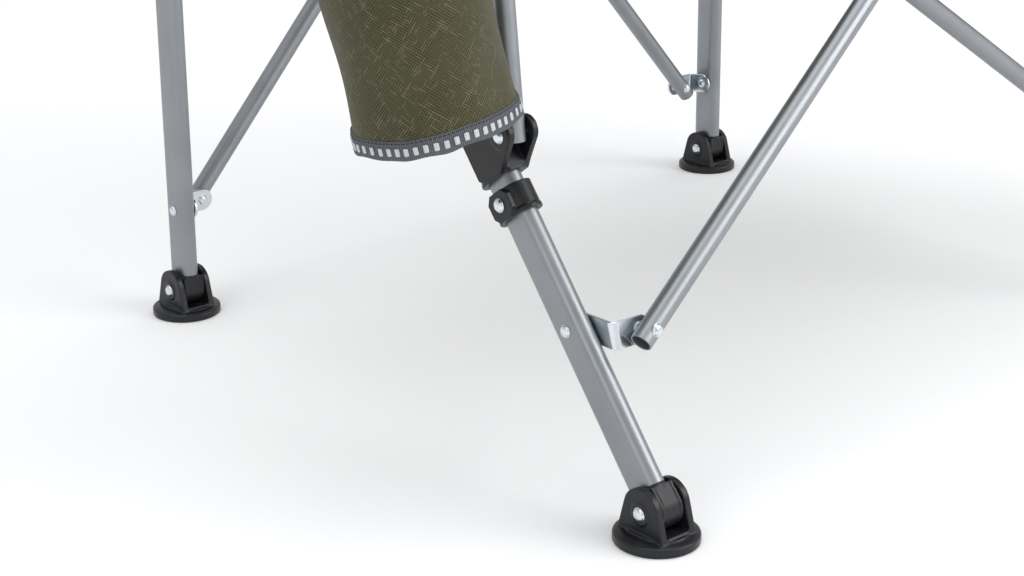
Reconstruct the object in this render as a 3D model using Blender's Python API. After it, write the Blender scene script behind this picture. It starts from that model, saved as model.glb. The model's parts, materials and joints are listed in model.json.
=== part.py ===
"""Folding camp chair with a high back, two armrests and two hanging pouches.

Metres, +Z up.  X runs across the chair, the sitter faces -Y, and the origin is on the
floor under the middle of the chair.  The chair is drawn open, as it stands in use.

The two side frames are joined by a crossed pair of tubes in front and another behind.
On each side a vertical rear post carries a sliding hub.  The front leg is pinned to the
hub and leans forward to the front foot.  A fork slides on the front leg, above a stop
collar, and carries the lower end of the upright that holds the armrest.
"""

import math

import bmesh
import bpy
from mathutils import Matrix, Vector

# ---------------------------------------------------------------- driving dimensions
HALF_WIDTH = 0.335          # middle of a side frame, from the middle of the chair
HALF_DEPTH = 0.2926         # a foot's pivot, from the middle of the chair
PIVOT_HEIGHT = 0.0233       # a foot's pivot above the floor
LEG_LEAN = math.radians(37.8)
UPRIGHT_LEAN = math.radians(6.0)
FRONT_CROSS_LEAN = math.radians(12.3)
FRONT_CROSS_SLOPE = math.radians(35.3)
REAR_CROSS_SLOPE = math.radians(48.4)
POST_TOP = 1.050

OVAL_DEPTH = 0.029          # flat-oval leg and post tube
OVAL_WIDTH = 0.016
ROUND_RADIUS = 0.008        # round tube of the uprights and crossed tubes
TUBE_WALL = 0.0012
GAP = 0.0003
PLATE = 0.0025              # bracket plate
RIVET_RADIUS = 0.003
HOLE_RADIUS = RIVET_RADIUS + GAP
HEAD_RADIUS = 0.0055
HEAD_HEIGHT = 0.0024
CROSS_INBOARD = 0.033       # a crossed tube's pivot, inboard of the side frame's middle
CROSS_LAYER = 0.0100        # a crossed tube's middle, in front of or behind its plate
CROSS_TAIL = 0.012          # tube past its lower pivot
CROSS_END = 0.006           # tube past the middle of its upper plate
CROSS_SPAN = 2 * (HALF_WIDTH - CROSS_INBOARD)

HUB_REACH = 0.036           # leg pivot in front of the post's middle
EYE_RADIUS = 0.0134
HEAD_EYE_RADIUS = 0.0115    # eye at a front leg's upper end
EYE_HALF = 0.010
SHOULDER_LENGTH = 0.014     # pivot to the end of the tube that the eye plugs
PLUG_LENGTH = 0.024

COLLAR_LOW = 0.219          # along the leg from the foot's pivot
COLLAR_HIGH = 0.240
FORK_PIN = 0.2699
FORK_OFFSET = 0.0295        # fork pin in front of the leg's middle
FRONT_BRACKET_ALONG = 0.1325
REAR_BRACKET_HEIGHT = 0.0933
UPRIGHT_TAIL = 0.006
UPRIGHT_LENGTH = 0.400
CORNER_ALONG = 0.2899       # corner bracket, up the upright from the fork pin
BRACKET_REACH = 0.0299      # crossed tube's pivot in front of the leg's or upright's middle
NEAR_REACH = 0.0101         # left corner plate, which lies behind the tube that crosses it

ARM_LOW = 0.662
ARM_THICK = 0.022
ARM_STRAP_IN = 0.0105       # inner face of the armrest's rear strap, outboard of the frame
ARM_STRAP_OUT = 0.0140

SEAT_REAR = Vector((0.0, 0.262, 0.452))
SEAT_FRONT = Vector((0.0, -0.118, 0.524))
SEAT_HALF = 0.316
SEAT_THICK = 0.014
SEAT_SAG = 0.060
BACK_HALF = 0.316
BACK_LOW = 0.474
BACK_HIGH = 1.060
BACK_FACE = 0.258
BACK_THICK = 0.012
BACK_SAG = 0.012

POUCH_FLOOR = Vector((0.405, -0.155, 0.272))
POUCH_LEAN = math.radians(10.0)
POUCH_RADIUS = 0.057
POUCH_HEIGHT = 0.228
POUCH_WALL = 0.003

LEG_LENGTH = (2 * HALF_DEPTH - HUB_REACH) / math.sin(LEG_LEAN)
HUB_HEIGHT = PIVOT_HEIGHT + LEG_LENGTH * math.cos(LEG_LEAN)
REAR_CROSS_LENGTH = CROSS_SPAN / math.cos(REAR_CROSS_SLOPE)
FRONT_CROSS_LENGTH = CROSS_SPAN / math.cos(FRONT_CROSS_SLOPE)
HUB_PLATE_HEIGHT = REAR_BRACKET_HEIGHT + REAR_CROSS_LENGTH * math.sin(REAR_CROSS_SLOPE)
REAR_CROSS_Y = HALF_DEPTH + 0.0178

FINISHES = {
    "steel": ((0.42, 0.44, 0.46, 1.0), 0.38, 0.75),
    "zinc": ((0.72, 0.76, 0.80, 1.0), 0.28, 1.0),
    "plastic": ((0.018, 0.019, 0.022, 1.0), 0.45, 0.0),
    "fabric": ((0.062, 0.058, 0.035, 1.0), 0.95, 0.0),
}
SIDES = {"left": -1, "right": 1}


# ---------------------------------------------------------------- scene helpers
def clear_scene():
    """Remove every object that the file starts with."""
    for item in list(bpy.data.objects):
        bpy.data.objects.remove(item, do_unlink=True)


def finish(name):
    """Return the material of this name, made on first use."""
    material = bpy.data.materials.get(name)
    if material is None:
        material = bpy.data.materials.new(name)
        material.use_nodes = True
        shader = material.node_tree.nodes["Principled BSDF"]
        colour, roughness, metallic = FINISHES[name]
        shader.inputs["Base Color"].default_value = colour
        shader.inputs["Roughness"].default_value = roughness
        shader.inputs["Metallic"].default_value = metallic
    return material


def pivot(name, place, lean=0.0, turn=0.0):
    """Return an empty on a joint's axis: leaned back about X, then turned about its own Y."""
    empty = bpy.data.objects.new(name, None)
    bpy.context.scene.collection.objects.link(empty)
    empty.empty_display_size = 0.02
    turned = Matrix.Rotation(-lean, 4, "X") @ Matrix.Rotation(turn, 4, "Y")
    empty.matrix_world = Matrix.Translation(place) @ turned
    return empty


# ---------------------------------------------------------------- outlines and meshes
def arc(centre, radius, start, end, steps):
    """Points of an arc between two angles in degrees."""
    points = []
    for step in range(steps + 1):
        angle = math.radians(start + (end - start) * step / steps)
        points.append((centre[0] + radius * math.cos(angle), centre[1] + radius * math.sin(angle)))
    return points


def block(low, high):
    """Box between two corners."""
    outline = [(low[0], low[1]), (high[0], low[1]), (high[0], high[1]), (low[0], high[1])]
    return extruded(outline, low[2], high[2])


def circle(radius, steps=12, centre=(0.0, 0.0)):
    """Points of a full circle."""
    return arc(centre, radius, 0, 360, steps)[:-1]


def stadium(depth, width, centre=0.0, steps=5):
    """Flat-oval outline in (x, y), long along y."""
    radius = width / 2
    straight = (depth - width) / 2
    front = arc((0.0, centre - straight), radius, 180, 360, steps)
    back = arc((0.0, centre + straight), radius, 0, 180, steps)
    return front + back


def extruded(outline, low, high, axis="Z", hole=None):
    """Mesh of an outline run along an axis, with an optional hole outline of as many points.

    Along Z the outline is (x, y), along X it is (y, z) and along Y it is (x, z).
    """
    order = {"X": (2, 0, 1), "Y": (0, 2, 1), "Z": (0, 1, 2)}[axis]
    shape = bmesh.new()

    def ring(points, height):
        """Vertices of one outline at one end."""
        corners = [(point[0], point[1], height) for point in points]
        return [shape.verts.new([corner[place] for place in order]) for corner in corners]

    def walls(first, second):
        """Faces between two rings."""
        count = len(first)
        for index in range(count):
            following = (index + 1) % count
            shape.faces.new((first[index], first[following], second[following], second[index]))

    bottom = ring(outline, low)
    top = ring(outline, high)
    walls(bottom, top)
    if hole is None:
        shape.faces.new(bottom)
        shape.faces.new(top)
    else:
        inner_bottom = ring(hole, low)
        inner_top = ring(hole, high)
        walls(inner_bottom, inner_top)
        walls(bottom, inner_bottom)
        walls(top, inner_top)
    bmesh.ops.recalc_face_normals(shape, faces=shape.faces)
    return to_mesh(shape)


def turned(profile, axis="Z", steps=12, place=(0.0, 0.0, 0.0)):
    """Mesh turned about an axis from (radius, height) points; end radii of 0 close it."""
    order = {"X": (2, 0, 1), "Y": (0, 2, 1), "Z": (0, 1, 2)}[axis]
    shape = bmesh.new()
    rings = []
    for radius, height in profile:
        if radius == 0:
            points = [(0.0, 0.0, height)]
        else:
            points = [(x, y, height) for x, y in circle(radius, steps)]
        placed = [Vector([point[slot] for slot in order]) + Vector(place) for point in points]
        rings.append([shape.verts.new(point) for point in placed])
    for first, second in zip(rings, rings[1:]):
        for index in range(steps):
            following = (index + 1) % steps
            corners = [first[index % len(first)], first[following % len(first)],
                       second[following % len(second)], second[index % len(second)]]
            unique = list(dict.fromkeys(corners))
            shape.faces.new(unique)
    bmesh.ops.recalc_face_normals(shape, faces=shape.faces)
    return to_mesh(shape)


def sheet(surface, thickness, columns, rows):
    """Closed mesh of a curved sheet: surface(u, v) gives a point and the way its back faces."""
    shape = bmesh.new()
    front = {}
    back = {}
    for column in range(columns + 1):
        for row in range(rows + 1):
            point, normal = surface(column / columns, row / rows)
            front[column, row] = shape.verts.new(point)
            back[column, row] = shape.verts.new(point + normal * thickness)
    for layer in (front, back):
        for column in range(columns):
            for row in range(rows):
                shape.faces.new((layer[column, row], layer[column + 1, row],
                                 layer[column + 1, row + 1], layer[column, row + 1]))
    rim = [(column, 0) for column in range(columns)]
    rim += [(columns, row) for row in range(rows)]
    rim += [(column, rows) for column in range(columns, 0, -1)]
    rim += [(0, row) for row in range(rows, 0, -1)]
    for index, spot in enumerate(rim):
        following = rim[(index + 1) % len(rim)]
        shape.faces.new((front[spot], front[following], back[following], back[spot]))
    bmesh.ops.recalc_face_normals(shape, faces=shape.faces)
    return to_mesh(shape)


def to_mesh(shape):
    """Turn a bmesh into a mesh."""
    mesh = bpy.data.meshes.new("piece")
    shape.to_mesh(mesh)
    shape.free()
    return mesh


def flipped(mesh):
    """Mirror a mesh across x = 0 and turn its faces out again."""
    shape = bmesh.new()
    shape.from_mesh(mesh)
    for vertex in shape.verts:
        vertex.co.x = -vertex.co.x
    bmesh.ops.reverse_faces(shape, faces=shape.faces)
    return to_mesh(shape)


def leaned(mesh, lean, place):
    """Turn a mesh back about the X axis through a place."""
    spot = Vector(place)
    turn = Matrix.Translation(spot) @ Matrix.Rotation(-lean, 4, "X") @ Matrix.Translation(-spot)
    mesh.transform(turn)
    return mesh


def helper(owner, mesh, operation):
    """Add a hidden shape to its owner and a Boolean that joins or cuts with it."""
    tool = bpy.data.objects.new(owner.name + "_tool", mesh)
    bpy.context.scene.collection.objects.link(tool)
    tool.parent = owner.parent
    tool.hide_render = True
    tool.display_type = "WIRE"
    boolean = owner.modifiers.new("shape", "BOOLEAN")
    boolean.operation = operation
    boolean.object = tool
    boolean.solver = "EXACT"


def solid(name, frame, material, adds, cuts=(), side=1):
    """Make one node from meshes joined and cut in its frame; side -1 mirrors them."""
    def sided(mesh):
        """The mesh as this side needs it."""
        return flipped(mesh) if side < 0 else mesh

    base = sided(adds[0])
    base.name = name
    base.shade_smooth()
    base.set_sharp_from_angle(angle=math.radians(32))
    piece = bpy.data.objects.new(name, base)
    bpy.context.scene.collection.objects.link(piece)
    piece.parent = frame
    piece.data.materials.append(finish(material))
    for mesh in adds[1:]:
        helper(piece, sided(mesh), "UNION")
    for mesh in cuts:
        helper(piece, sided(mesh), "DIFFERENCE")
    return piece


def bore(radius, axis, place, half, steps=10):
    """Cutter for a round hole through a place."""
    return turned([(0, -half), (radius, -half), (radius, half), (0, half)], axis, steps, place)


def rivet(low, high, axis="X", place=(0.0, 0.0, 0.0), radius=RIVET_RADIUS, head=HEAD_RADIUS):
    """Shank with a domed head outside each of two faces."""
    crown = head * 0.62
    profile = [(0, low - HEAD_HEIGHT), (crown, low - HEAD_HEIGHT * 0.8), (head, low - GAP),
               (radius, low - GAP), (radius, high + GAP), (head, high + GAP),
               (crown, high + HEAD_HEIGHT * 0.8), (0, high + HEAD_HEIGHT)]
    return turned(profile, axis, 10, place)


def oval_tube(low, high):
    """Flat-oval tube between two heights."""
    outer = stadium(OVAL_DEPTH, OVAL_WIDTH)
    inner = stadium(OVAL_DEPTH - 2 * TUBE_WALL, OVAL_WIDTH - 2 * TUBE_WALL)
    return extruded(outer, low, high, hole=inner)


def tube_channel(low, high, centre):
    """Cutter that lets a flat-oval tube slide through a part."""
    outline = stadium(OVAL_DEPTH + 2 * GAP, OVAL_WIDTH + 2 * GAP, centre)
    return extruded(outline, low - 0.010, high + 0.010)


# ---------------------------------------------------------------- feet and tube ends
def tube_eye(name, frame, side, pin_height, up, radius=EYE_RADIUS):
    """Plug in a flat-oval tube's end with an eye on its pivot; up is 1 below the tube, -1 above."""
    barrel = bore(radius, "X", (0, 0, pin_height), EYE_HALF, 14)
    clearance = 2 * (TUBE_WALL + GAP)
    plug_outline = stadium(OVAL_DEPTH - clearance, OVAL_WIDTH - clearance)

    def stretch(outline, start, end):
        """Part of the piece between two distances from the pivot."""
        low, high = sorted((pin_height + up * start, pin_height + up * end))
        return extruded(outline, low, high)

    shoulder = stretch(stadium(0.0225, 0.0172), 0.0004, SHOULDER_LENGTH - 0.0021)
    lip = stretch(stadium(0.031, 0.018), SHOULDER_LENGTH - 0.0043, SHOULDER_LENGTH - GAP)
    plug = stretch(plug_outline, SHOULDER_LENGTH - 0.0031, SHOULDER_LENGTH + PLUG_LENGTH)
    hole = bore(HOLE_RADIUS, "X", (0, 0, pin_height), 0.02)
    return solid(name, frame, "plastic", [barrel, shoulder, lip, plug], [hole], side)


def make_foot(name, frame, side):
    """Round swivel foot: a pad with two ears around its pivot."""
    floor = -PIVOT_HEIGHT
    pad = turned([(0, floor), (0.0285, floor), (0.030, floor + 0.0015), (0.030, floor + 0.005),
                  (0.027, floor + 0.0075), (0.024, floor + 0.0081), (0, floor + 0.0081)], steps=24)
    outline = [(-0.0215, floor + 0.005), (0.0215, floor + 0.005)]
    outline += arc((0.0, 0.0025), 0.0155, -8, 188, 8)
    near = extruded(outline, EYE_HALF + 0.0006, EYE_HALF + 0.0056, "X")
    far = extruded(outline, -EYE_HALF - 0.0056, -EYE_HALF - 0.0006, "X")
    hole = bore(HOLE_RADIUS, "X", (0, 0, 0), 0.03)
    return solid(name, frame, "plastic", [pad, near, far], [hole], side)


def make_foot_pin(name, frame, side, height):
    """Pin through a foot's ears and the eye between them."""
    reach = EYE_HALF + 0.0056
    return solid(name, frame, "zinc", [rivet(-reach, reach, place=(0, 0, height))], side=side)


# ---------------------------------------------------------------- rear post and hub
def make_post(label, side, frame):
    """Rear post with its end pieces and its low bracket."""
    tube_low = PIVOT_HEIGHT + SHOULDER_LENGTH
    rivet_height = REAR_BRACKET_HEIGHT + 0.0024
    screw_height = ARM_LOW + ARM_THICK / 2
    holes = [bore(HOLE_RADIUS, "X", (0, 0, height), 0.03) for height in (rivet_height, screw_height)]
    solid(label + "_rear_post", frame, "steel", [oval_tube(tube_low, POST_TOP)], holes, side)
    tube_eye(label + "_rear_post_eye", frame, side, PIVOT_HEIGHT, 1)
    make_foot_pin(label + "_rear_foot_pin", frame, side, PIVOT_HEIGHT)

    inner = OVAL_WIDTH / 2 + GAP
    plate_y = REAR_CROSS_Y - HALF_DEPTH
    grip = extruded([(-0.011, rivet_height - 0.011), (plate_y + PLATE / 2, rivet_height - 0.011),
                     (plate_y + PLATE / 2, rivet_height + 0.011), (-0.011, rivet_height + 0.011)],
                    -inner - PLATE, -inner, "X")
    wing = extruded(bracket_wing(REAR_BRACKET_HEIGHT, inner), plate_y - PLATE / 2,
                    plate_y + PLATE / 2, "Y")
    shank = rivet(-inner - PLATE - 0.0001, inner - GAP, place=(0, 0, rivet_height))
    hole = bore(HOLE_RADIUS, "Y", (-CROSS_INBOARD, plate_y, REAR_BRACKET_HEIGHT), 0.01)
    solid(label + "_rear_bracket", frame, "zinc", [grip, wing, shank], [hole], side)

    clearance = 2 * (TUBE_WALL + GAP)
    crown = extruded(stadium(0.031, 0.018), POST_TOP + GAP, POST_TOP + 0.008)
    plug = extruded(stadium(OVAL_DEPTH - clearance, OVAL_WIDTH - clearance),
                    POST_TOP - 0.025, POST_TOP + 0.004)
    solid(label + "_post_cap", frame, "plastic", [crown, plug], side=side)

    strap = ARM_STRAP_OUT + GAP
    screw = turned([(0, -0.0105), (0.004, -0.0100), (0.0055, -0.0083), (0.003, -0.0083),
                    (0.003, 0.0083), (0.006, 0.0083), (0.006, ARM_STRAP_IN - GAP),
                    (0.003, ARM_STRAP_IN - GAP), (0.003, strap), (0.0065, strap),
                    (0.0045, strap + 0.0024), (0, strap + 0.0026)], "X", 10, (0, 0, screw_height))
    solid(label + "_armrest_screw", frame, "zinc", [screw], side=side)


def bracket_wing(height, inner):
    """Outline in (x, z) of a bracket's inboard plate, round about a crossed tube's pivot."""
    tip = arc((-CROSS_INBOARD, height), 0.010, 90, 270, 6)
    return [(-inner, height - 0.010), (-inner, height + 0.010)] + tip


def make_hub(label, side, frame):
    """Sliding hub with ears for the front leg and a plate for a crossed tube's upper end."""
    post = HUB_REACH
    low = -0.020
    plate_height = HUB_PLATE_HEIGHT - HUB_HEIGHT
    high = plate_height + 0.016
    body = extruded(stadium(0.038, 0.025, post), low, high)
    outline = arc((0.0, 0.0), 0.0125, 70, 262, 8)
    outline += [(post - 0.010, low + 0.001), (post - 0.010, 0.030)]
    cheeks = extruded(outline, -0.0149, 0.0149, "X")
    slot = block((-EYE_HALF - 0.0006, -0.030, -0.050), (EYE_HALF + 0.0006, post - 0.0182, 0.060))
    plate_y = REAR_CROSS_Y - HALF_DEPTH + post
    plate = extruded(bracket_wing(plate_height, -0.004), plate_y - 0.0013, plate_y + 0.0013, "Y")
    hole = bore(HOLE_RADIUS, "X", (0, 0, 0), 0.03)
    channel = tube_channel(low, high, post)
    solid(label + "_rear_hub", frame, "plastic", [body, cheeks, plate], [slot, channel, hole], side)
    solid(label + "_hub_pin", frame, "zinc", [rivet(-0.0149, 0.0149)], side=side)


# ---------------------------------------------------------------- front leg and fork
def make_leg(label, side, frame):
    """Front leg in the frame of its hub pivot, with its eyes, stop collar and bracket rivet."""
    foot = -LEG_LENGTH
    bracket = foot + FRONT_BRACKET_ALONG
    inner = OVAL_WIDTH / 2 + GAP + PLATE
    tube = oval_tube(foot + SHOULDER_LENGTH, -SHOULDER_LENGTH)
    solid(label + "_front_leg", frame, "steel", [tube],
          [bore(HOLE_RADIUS, "X", (0, 0, bracket), 0.03)], side)
    tube_eye(label + "_front_leg_eye", frame, side, foot, 1)
    tube_eye(label + "_front_leg_head", frame, side, 0.0, -1, HEAD_EYE_RADIUS)
    make_foot_pin(label + "_front_foot_pin", frame, side, foot)
    shank = rivet(-inner, OVAL_WIDTH / 2, place=(0, 0, bracket))
    solid(label + "_front_bracket_rivet", frame, "zinc", [shank], side=side)
    collar = extruded(stadium(0.038, 0.025), foot + COLLAR_LOW, foot + COLLAR_HIGH,
                      hole=stadium(OVAL_DEPTH + 2 * GAP, OVAL_WIDTH + 2 * GAP))
    solid(label + "_leg_collar", frame, "plastic", [collar], side=side)


def make_fork(label, side, frame):
    """Fork that slides on the front leg, in the frame of its pin."""
    low = -0.021
    high = 0.022
    body = extruded(stadium(0.037, 0.025, FORK_OFFSET), low, high)
    outline = arc((0.0, 0.0), 0.010, 90, 270, 7)
    outline += [(0.015, low + 0.001), (0.022, low + 0.001), (0.022, high - 0.001), (0.015, high - 0.001)]
    cheeks = extruded(outline, -0.0132, 0.0132, "X")
    slot = block((-ROUND_RADIUS - 0.0007, -0.030, -0.040), (ROUND_RADIUS + 0.0007, 0.0117, 0.040))
    channel = tube_channel(low, high, FORK_OFFSET)
    hole = bore(HOLE_RADIUS, "X", (0, 0, 0), 0.03)
    solid(label + "_fork_slider", frame, "plastic", [body, cheeks], [slot, channel, hole], side)
    solid(label + "_fork_pin", frame, "zinc", [rivet(-0.0132, 0.0132)], side=side)


def make_upright(label, side, frame):
    """Armrest upright in the frame of the fork pin, with its corner bracket and top cap."""
    tube = extruded(circle(ROUND_RADIUS), -UPRIGHT_TAIL, UPRIGHT_LENGTH,
                    hole=circle(ROUND_RADIUS - TUBE_WALL))
    solid(label + "_front_upright", frame, "steel", [tube],
          [bore(HOLE_RADIUS, "X", (0, 0, 0), 0.03)], side)
    cap_low = UPRIGHT_LENGTH + GAP
    cap = turned([(0, UPRIGHT_LENGTH - 0.020), (0.0064, UPRIGHT_LENGTH - 0.020), (0.0064, cap_low),
                  (0.0095, cap_low), (0.0095, cap_low + 0.003), (0.007, cap_low + 0.005),
                  (0, cap_low + 0.005)])
    solid(label + "_upright_cap", frame, "plastic", [cap], side=side)

    ring = extruded(circle(0.0115), CORNER_ALONG - 0.012, CORNER_ALONG + 0.012,
                    hole=circle(ROUND_RADIUS + 2 * GAP))
    low = CORNER_ALONG - 0.009
    high = CORNER_ALONG + 0.009
    if side > 0:
        reach = BRACKET_REACH
        start = -0.006
        stem = block((-0.004, -reach, low), (0.004, -0.0098, high))
    else:
        reach = NEAR_REACH
        start = 0.009
        stem = block((-0.0135, -reach - PLATE / 2, low), (-0.0087, 0.004, high))
    wing = extruded(bracket_wing(CORNER_ALONG, start), -reach - PLATE / 2, -reach + PLATE / 2, "Y")
    plate = leaned(wing, FRONT_CROSS_LEAN - UPRIGHT_LEAN, (0, -reach, CORNER_ALONG))
    solid(label + "_corner_bracket", frame, "plastic", [ring, stem, plate], side=side)


def make_front_bracket(label, side, frame):
    """Low front bracket in the frame of its rivet: one flange on the leg, one across."""
    inner = OVAL_WIDTH / 2 + GAP
    outline = arc((0.0, 0.0), 0.0105, -60, 60, 6)
    forward = BRACKET_REACH * math.cos(FRONT_CROSS_LEAN)
    drop = -BRACKET_REACH * math.sin(FRONT_CROSS_LEAN)
    outline += [(-forward - PLATE / 2, drop + 0.010), (-forward - PLATE / 2, drop - 0.010)]
    grip = extruded(outline, -inner - PLATE, -inner, "X")
    wing = extruded(bracket_wing(drop, inner), -forward - PLATE / 2, -forward + PLATE / 2, "Y")
    holes = [bore(HOLE_RADIUS, "X", (0, 0, 0), 0.03),
             bore(HOLE_RADIUS, "Y", (-CROSS_INBOARD, -forward, drop), 0.01)]
    solid(label + "_front_bracket", frame, "zinc", [grip, wing], holes, side)


# ---------------------------------------------------------------- crossed tubes
def make_cross_tube(label, place, side, frame, length, layer, centre_rivet):
    """One crossed tube in the frame of its lower pivot: it runs inboard along x, in its layer."""
    tube = extruded(circle(ROUND_RADIUS, centre=(layer, 0.0)), -length - CROSS_END, CROSS_TAIL, "X",
                    hole=circle(ROUND_RADIUS - TUBE_WALL, centre=(layer, 0.0)))
    spots = [0.0, -length / 2] if centre_rivet else [0.0]
    holes = [bore(HOLE_RADIUS, "Y", (spot, layer, 0), 0.02) for spot in spots]
    solid(label + "_" + place + "_diagonal", frame, "steel", [tube], holes, side)

    way = 1 if layer > 0 else -1
    outer = way * (abs(layer) + ROUND_RADIUS)
    plate = -way * PLATE / 2
    pin = rivet(min(outer, plate), max(outer, plate), "Y")
    solid(label + "_" + place + "_diagonal_rivet", frame, "zinc", [pin], side=side)
    if centre_rivet:
        inner = way * (abs(layer) - ROUND_RADIUS)
        washer = -way * (abs(layer) - ROUND_RADIUS - GAP)
        head = outer + way * GAP
        crown = outer + way * HEAD_HEIGHT
        profile = [(0, crown), (HEAD_RADIUS, head), (RIVET_RADIUS, head),
                   (RIVET_RADIUS, inner - way * GAP), (0.007, inner - way * GAP),
                   (0.007, washer), (0, washer)]
        spot = (-length / 2, 0, 0)
        solid(place + "_cross_rivet", frame, "zinc", [turned(profile, "Y", 10, spot)], side=side)


# ---------------------------------------------------------------- soft parts
def make_armrest(label, side, frame):
    """Padded arm that narrows to a strap outboard of the leg and post."""
    low = -ARM_THICK / 2
    outline = arc((0.000, -0.435), 0.026, 180, 270, 4)
    outline += arc((0.054, -0.435), 0.026, 270, 360, 4)
    outline += [(0.080, -0.180), (0.060, -0.130), (ARM_STRAP_OUT, -0.105), (ARM_STRAP_OUT, 0.013),
                (ARM_STRAP_IN, 0.013), (ARM_STRAP_IN, -0.125), (-0.026, -0.180)]
    hole = bore(HOLE_RADIUS, "X", (0, 0, 0), 0.03)
    solid(label + "_armrest", frame, "fabric", [extruded(outline, low, -low)], [hole], side)


def make_pouch(label, side, frame):
    """Round hanging pouch, open at the top, in a frame on its own axis."""
    inner = POUCH_RADIUS - POUCH_WALL
    profile = [(0, 0), (POUCH_RADIUS - 0.004, 0), (POUCH_RADIUS, 0.004), (POUCH_RADIUS, POUCH_HEIGHT),
               (inner, POUCH_HEIGHT), (inner, POUCH_WALL), (0, POUCH_WALL)]
    solid(label + "_side_pouch", frame, "fabric", [turned(profile, steps=20)], side=side)


def make_seat(frame):
    """Sling seat that sags between its front and rear edges, in the frame of its rear edge."""
    run = SEAT_FRONT - SEAT_REAR

    def surface(across, along):
        """Point on the upper face, and the way down."""
        width = 2 * across - 1
        dip = SEAT_SAG * (1 - width * width) * math.sin(math.pi * along) ** 0.8
        dip += 0.012 * (1 - width * width)
        point = Vector((SEAT_HALF * width, run.y * along, run.z * along - dip))
        return point, Vector((0, 0, -1))

    solid("seat", frame, "fabric", [sheet(surface, SEAT_THICK, 10, 8)])


def make_backrest(frame):
    """Back panel that hangs from the posts' tops and gives a little to the rear."""
    def surface(across, along):
        """Point on the front face, and the way back."""
        width = 2 * across - 1
        give = BACK_SAG * (1 - width * width) * math.sin(math.pi * along) ** 0.6
        height = BACK_LOW + (BACK_HIGH - BACK_LOW) * along
        return Vector((BACK_HALF * width, BACK_FACE + give, height)), Vector((0, 1, 0))

    solid("backrest", frame, "fabric", [sheet(surface, BACK_THICK, 8, 5)])


# ---------------------------------------------------------------- the chair
def make_side(label, side):
    """Everything on one side of the chair, and the crossed tubes that start there."""
    middle = side * HALF_WIDTH
    inboard = side * (HALF_WIDTH - CROSS_INBOARD)
    leg_way = Vector((0, math.sin(LEG_LEAN), math.cos(LEG_LEAN)))
    front_pivot = Vector((middle, -HALF_DEPTH, PIVOT_HEIGHT))
    hub_pivot = front_pivot + leg_way * LEG_LENGTH
    fork_place = front_pivot + leg_way * FORK_PIN
    fork_place += Vector((0, -math.cos(LEG_LEAN), math.sin(LEG_LEAN))) * FORK_OFFSET
    bracket_place = front_pivot + leg_way * FRONT_BRACKET_ALONG
    cross_place = bracket_place + Vector((0, -BRACKET_REACH, 0))
    cross_place.x = inboard

    make_post(label, side, pivot(label + "_side_slide", (middle, HALF_DEPTH, 0)))
    make_hub(label, side, pivot(label + "_hub_slide", hub_pivot))
    make_leg(label, side, pivot(label + "_leg_hinge", hub_pivot, LEG_LEAN))
    make_fork(label, side, pivot(label + "_fork_slide", fork_place, LEG_LEAN))
    make_upright(label, side, pivot(label + "_upright_hinge", fork_place, UPRIGHT_LEAN))
    make_front_bracket(label, side, pivot(label + "_bracket_hinge", bracket_place, FRONT_CROSS_LEAN))
    make_foot(label + "_front_foot", pivot(label + "_front_foot_hinge", front_pivot), side)
    rear_pivot = Vector((middle, HALF_DEPTH, PIVOT_HEIGHT))
    make_foot(label + "_rear_foot", pivot(label + "_rear_foot_hinge", rear_pivot), side)

    front_frame = pivot(label + "_front_cross_hinge", cross_place, FRONT_CROSS_LEAN,
                        side * FRONT_CROSS_SLOPE)
    make_cross_tube(label, "front", side, front_frame, FRONT_CROSS_LENGTH, side * CROSS_LAYER, side < 0)
    rear_place = Vector((inboard, REAR_CROSS_Y, REAR_BRACKET_HEIGHT))
    rear_frame = pivot(label + "_rear_cross_hinge", rear_place, 0.0, side * REAR_CROSS_SLOPE)
    make_cross_tube(label, "rear", side, rear_frame, REAR_CROSS_LENGTH, -side * CROSS_LAYER, side < 0)

    arm_place = Vector((middle, HALF_DEPTH, ARM_LOW + ARM_THICK / 2))
    make_armrest(label, side, pivot(label + "_armrest_hinge", arm_place))
    pouch_place = Vector((side * POUCH_FLOOR.x, POUCH_FLOOR.y, POUCH_FLOOR.z))
    make_pouch(label, side, pivot(label + "_pouch_frame", pouch_place, 0.0, side * POUCH_LEAN))


def make_chair():
    """The whole chair, open."""
    clear_scene()
    for label, side in SIDES.items():
        make_side(label, side)
    make_seat(pivot("seat_hinge", SEAT_REAR))
    make_backrest(pivot("backrest_frame", (0, 0, 0)))


make_chair()
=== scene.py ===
"""Looks of a folding camp chair with a high back, armrests and hanging pouches.

Metres, +Z up.  X runs across the chair and the sitter faces -Y.  Every shape is drawn for
the right side, with +X pointing outboard, and mirrored for the left side.
"""

from __future__ import annotations

import json
import logging
import math
from collections.abc import Callable, Sequence
from dataclasses import dataclass
from enum import Enum

import bmesh
import bpy
from mathutils import Matrix, Vector
from mathutils.bvhtree import BVHTree

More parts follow.
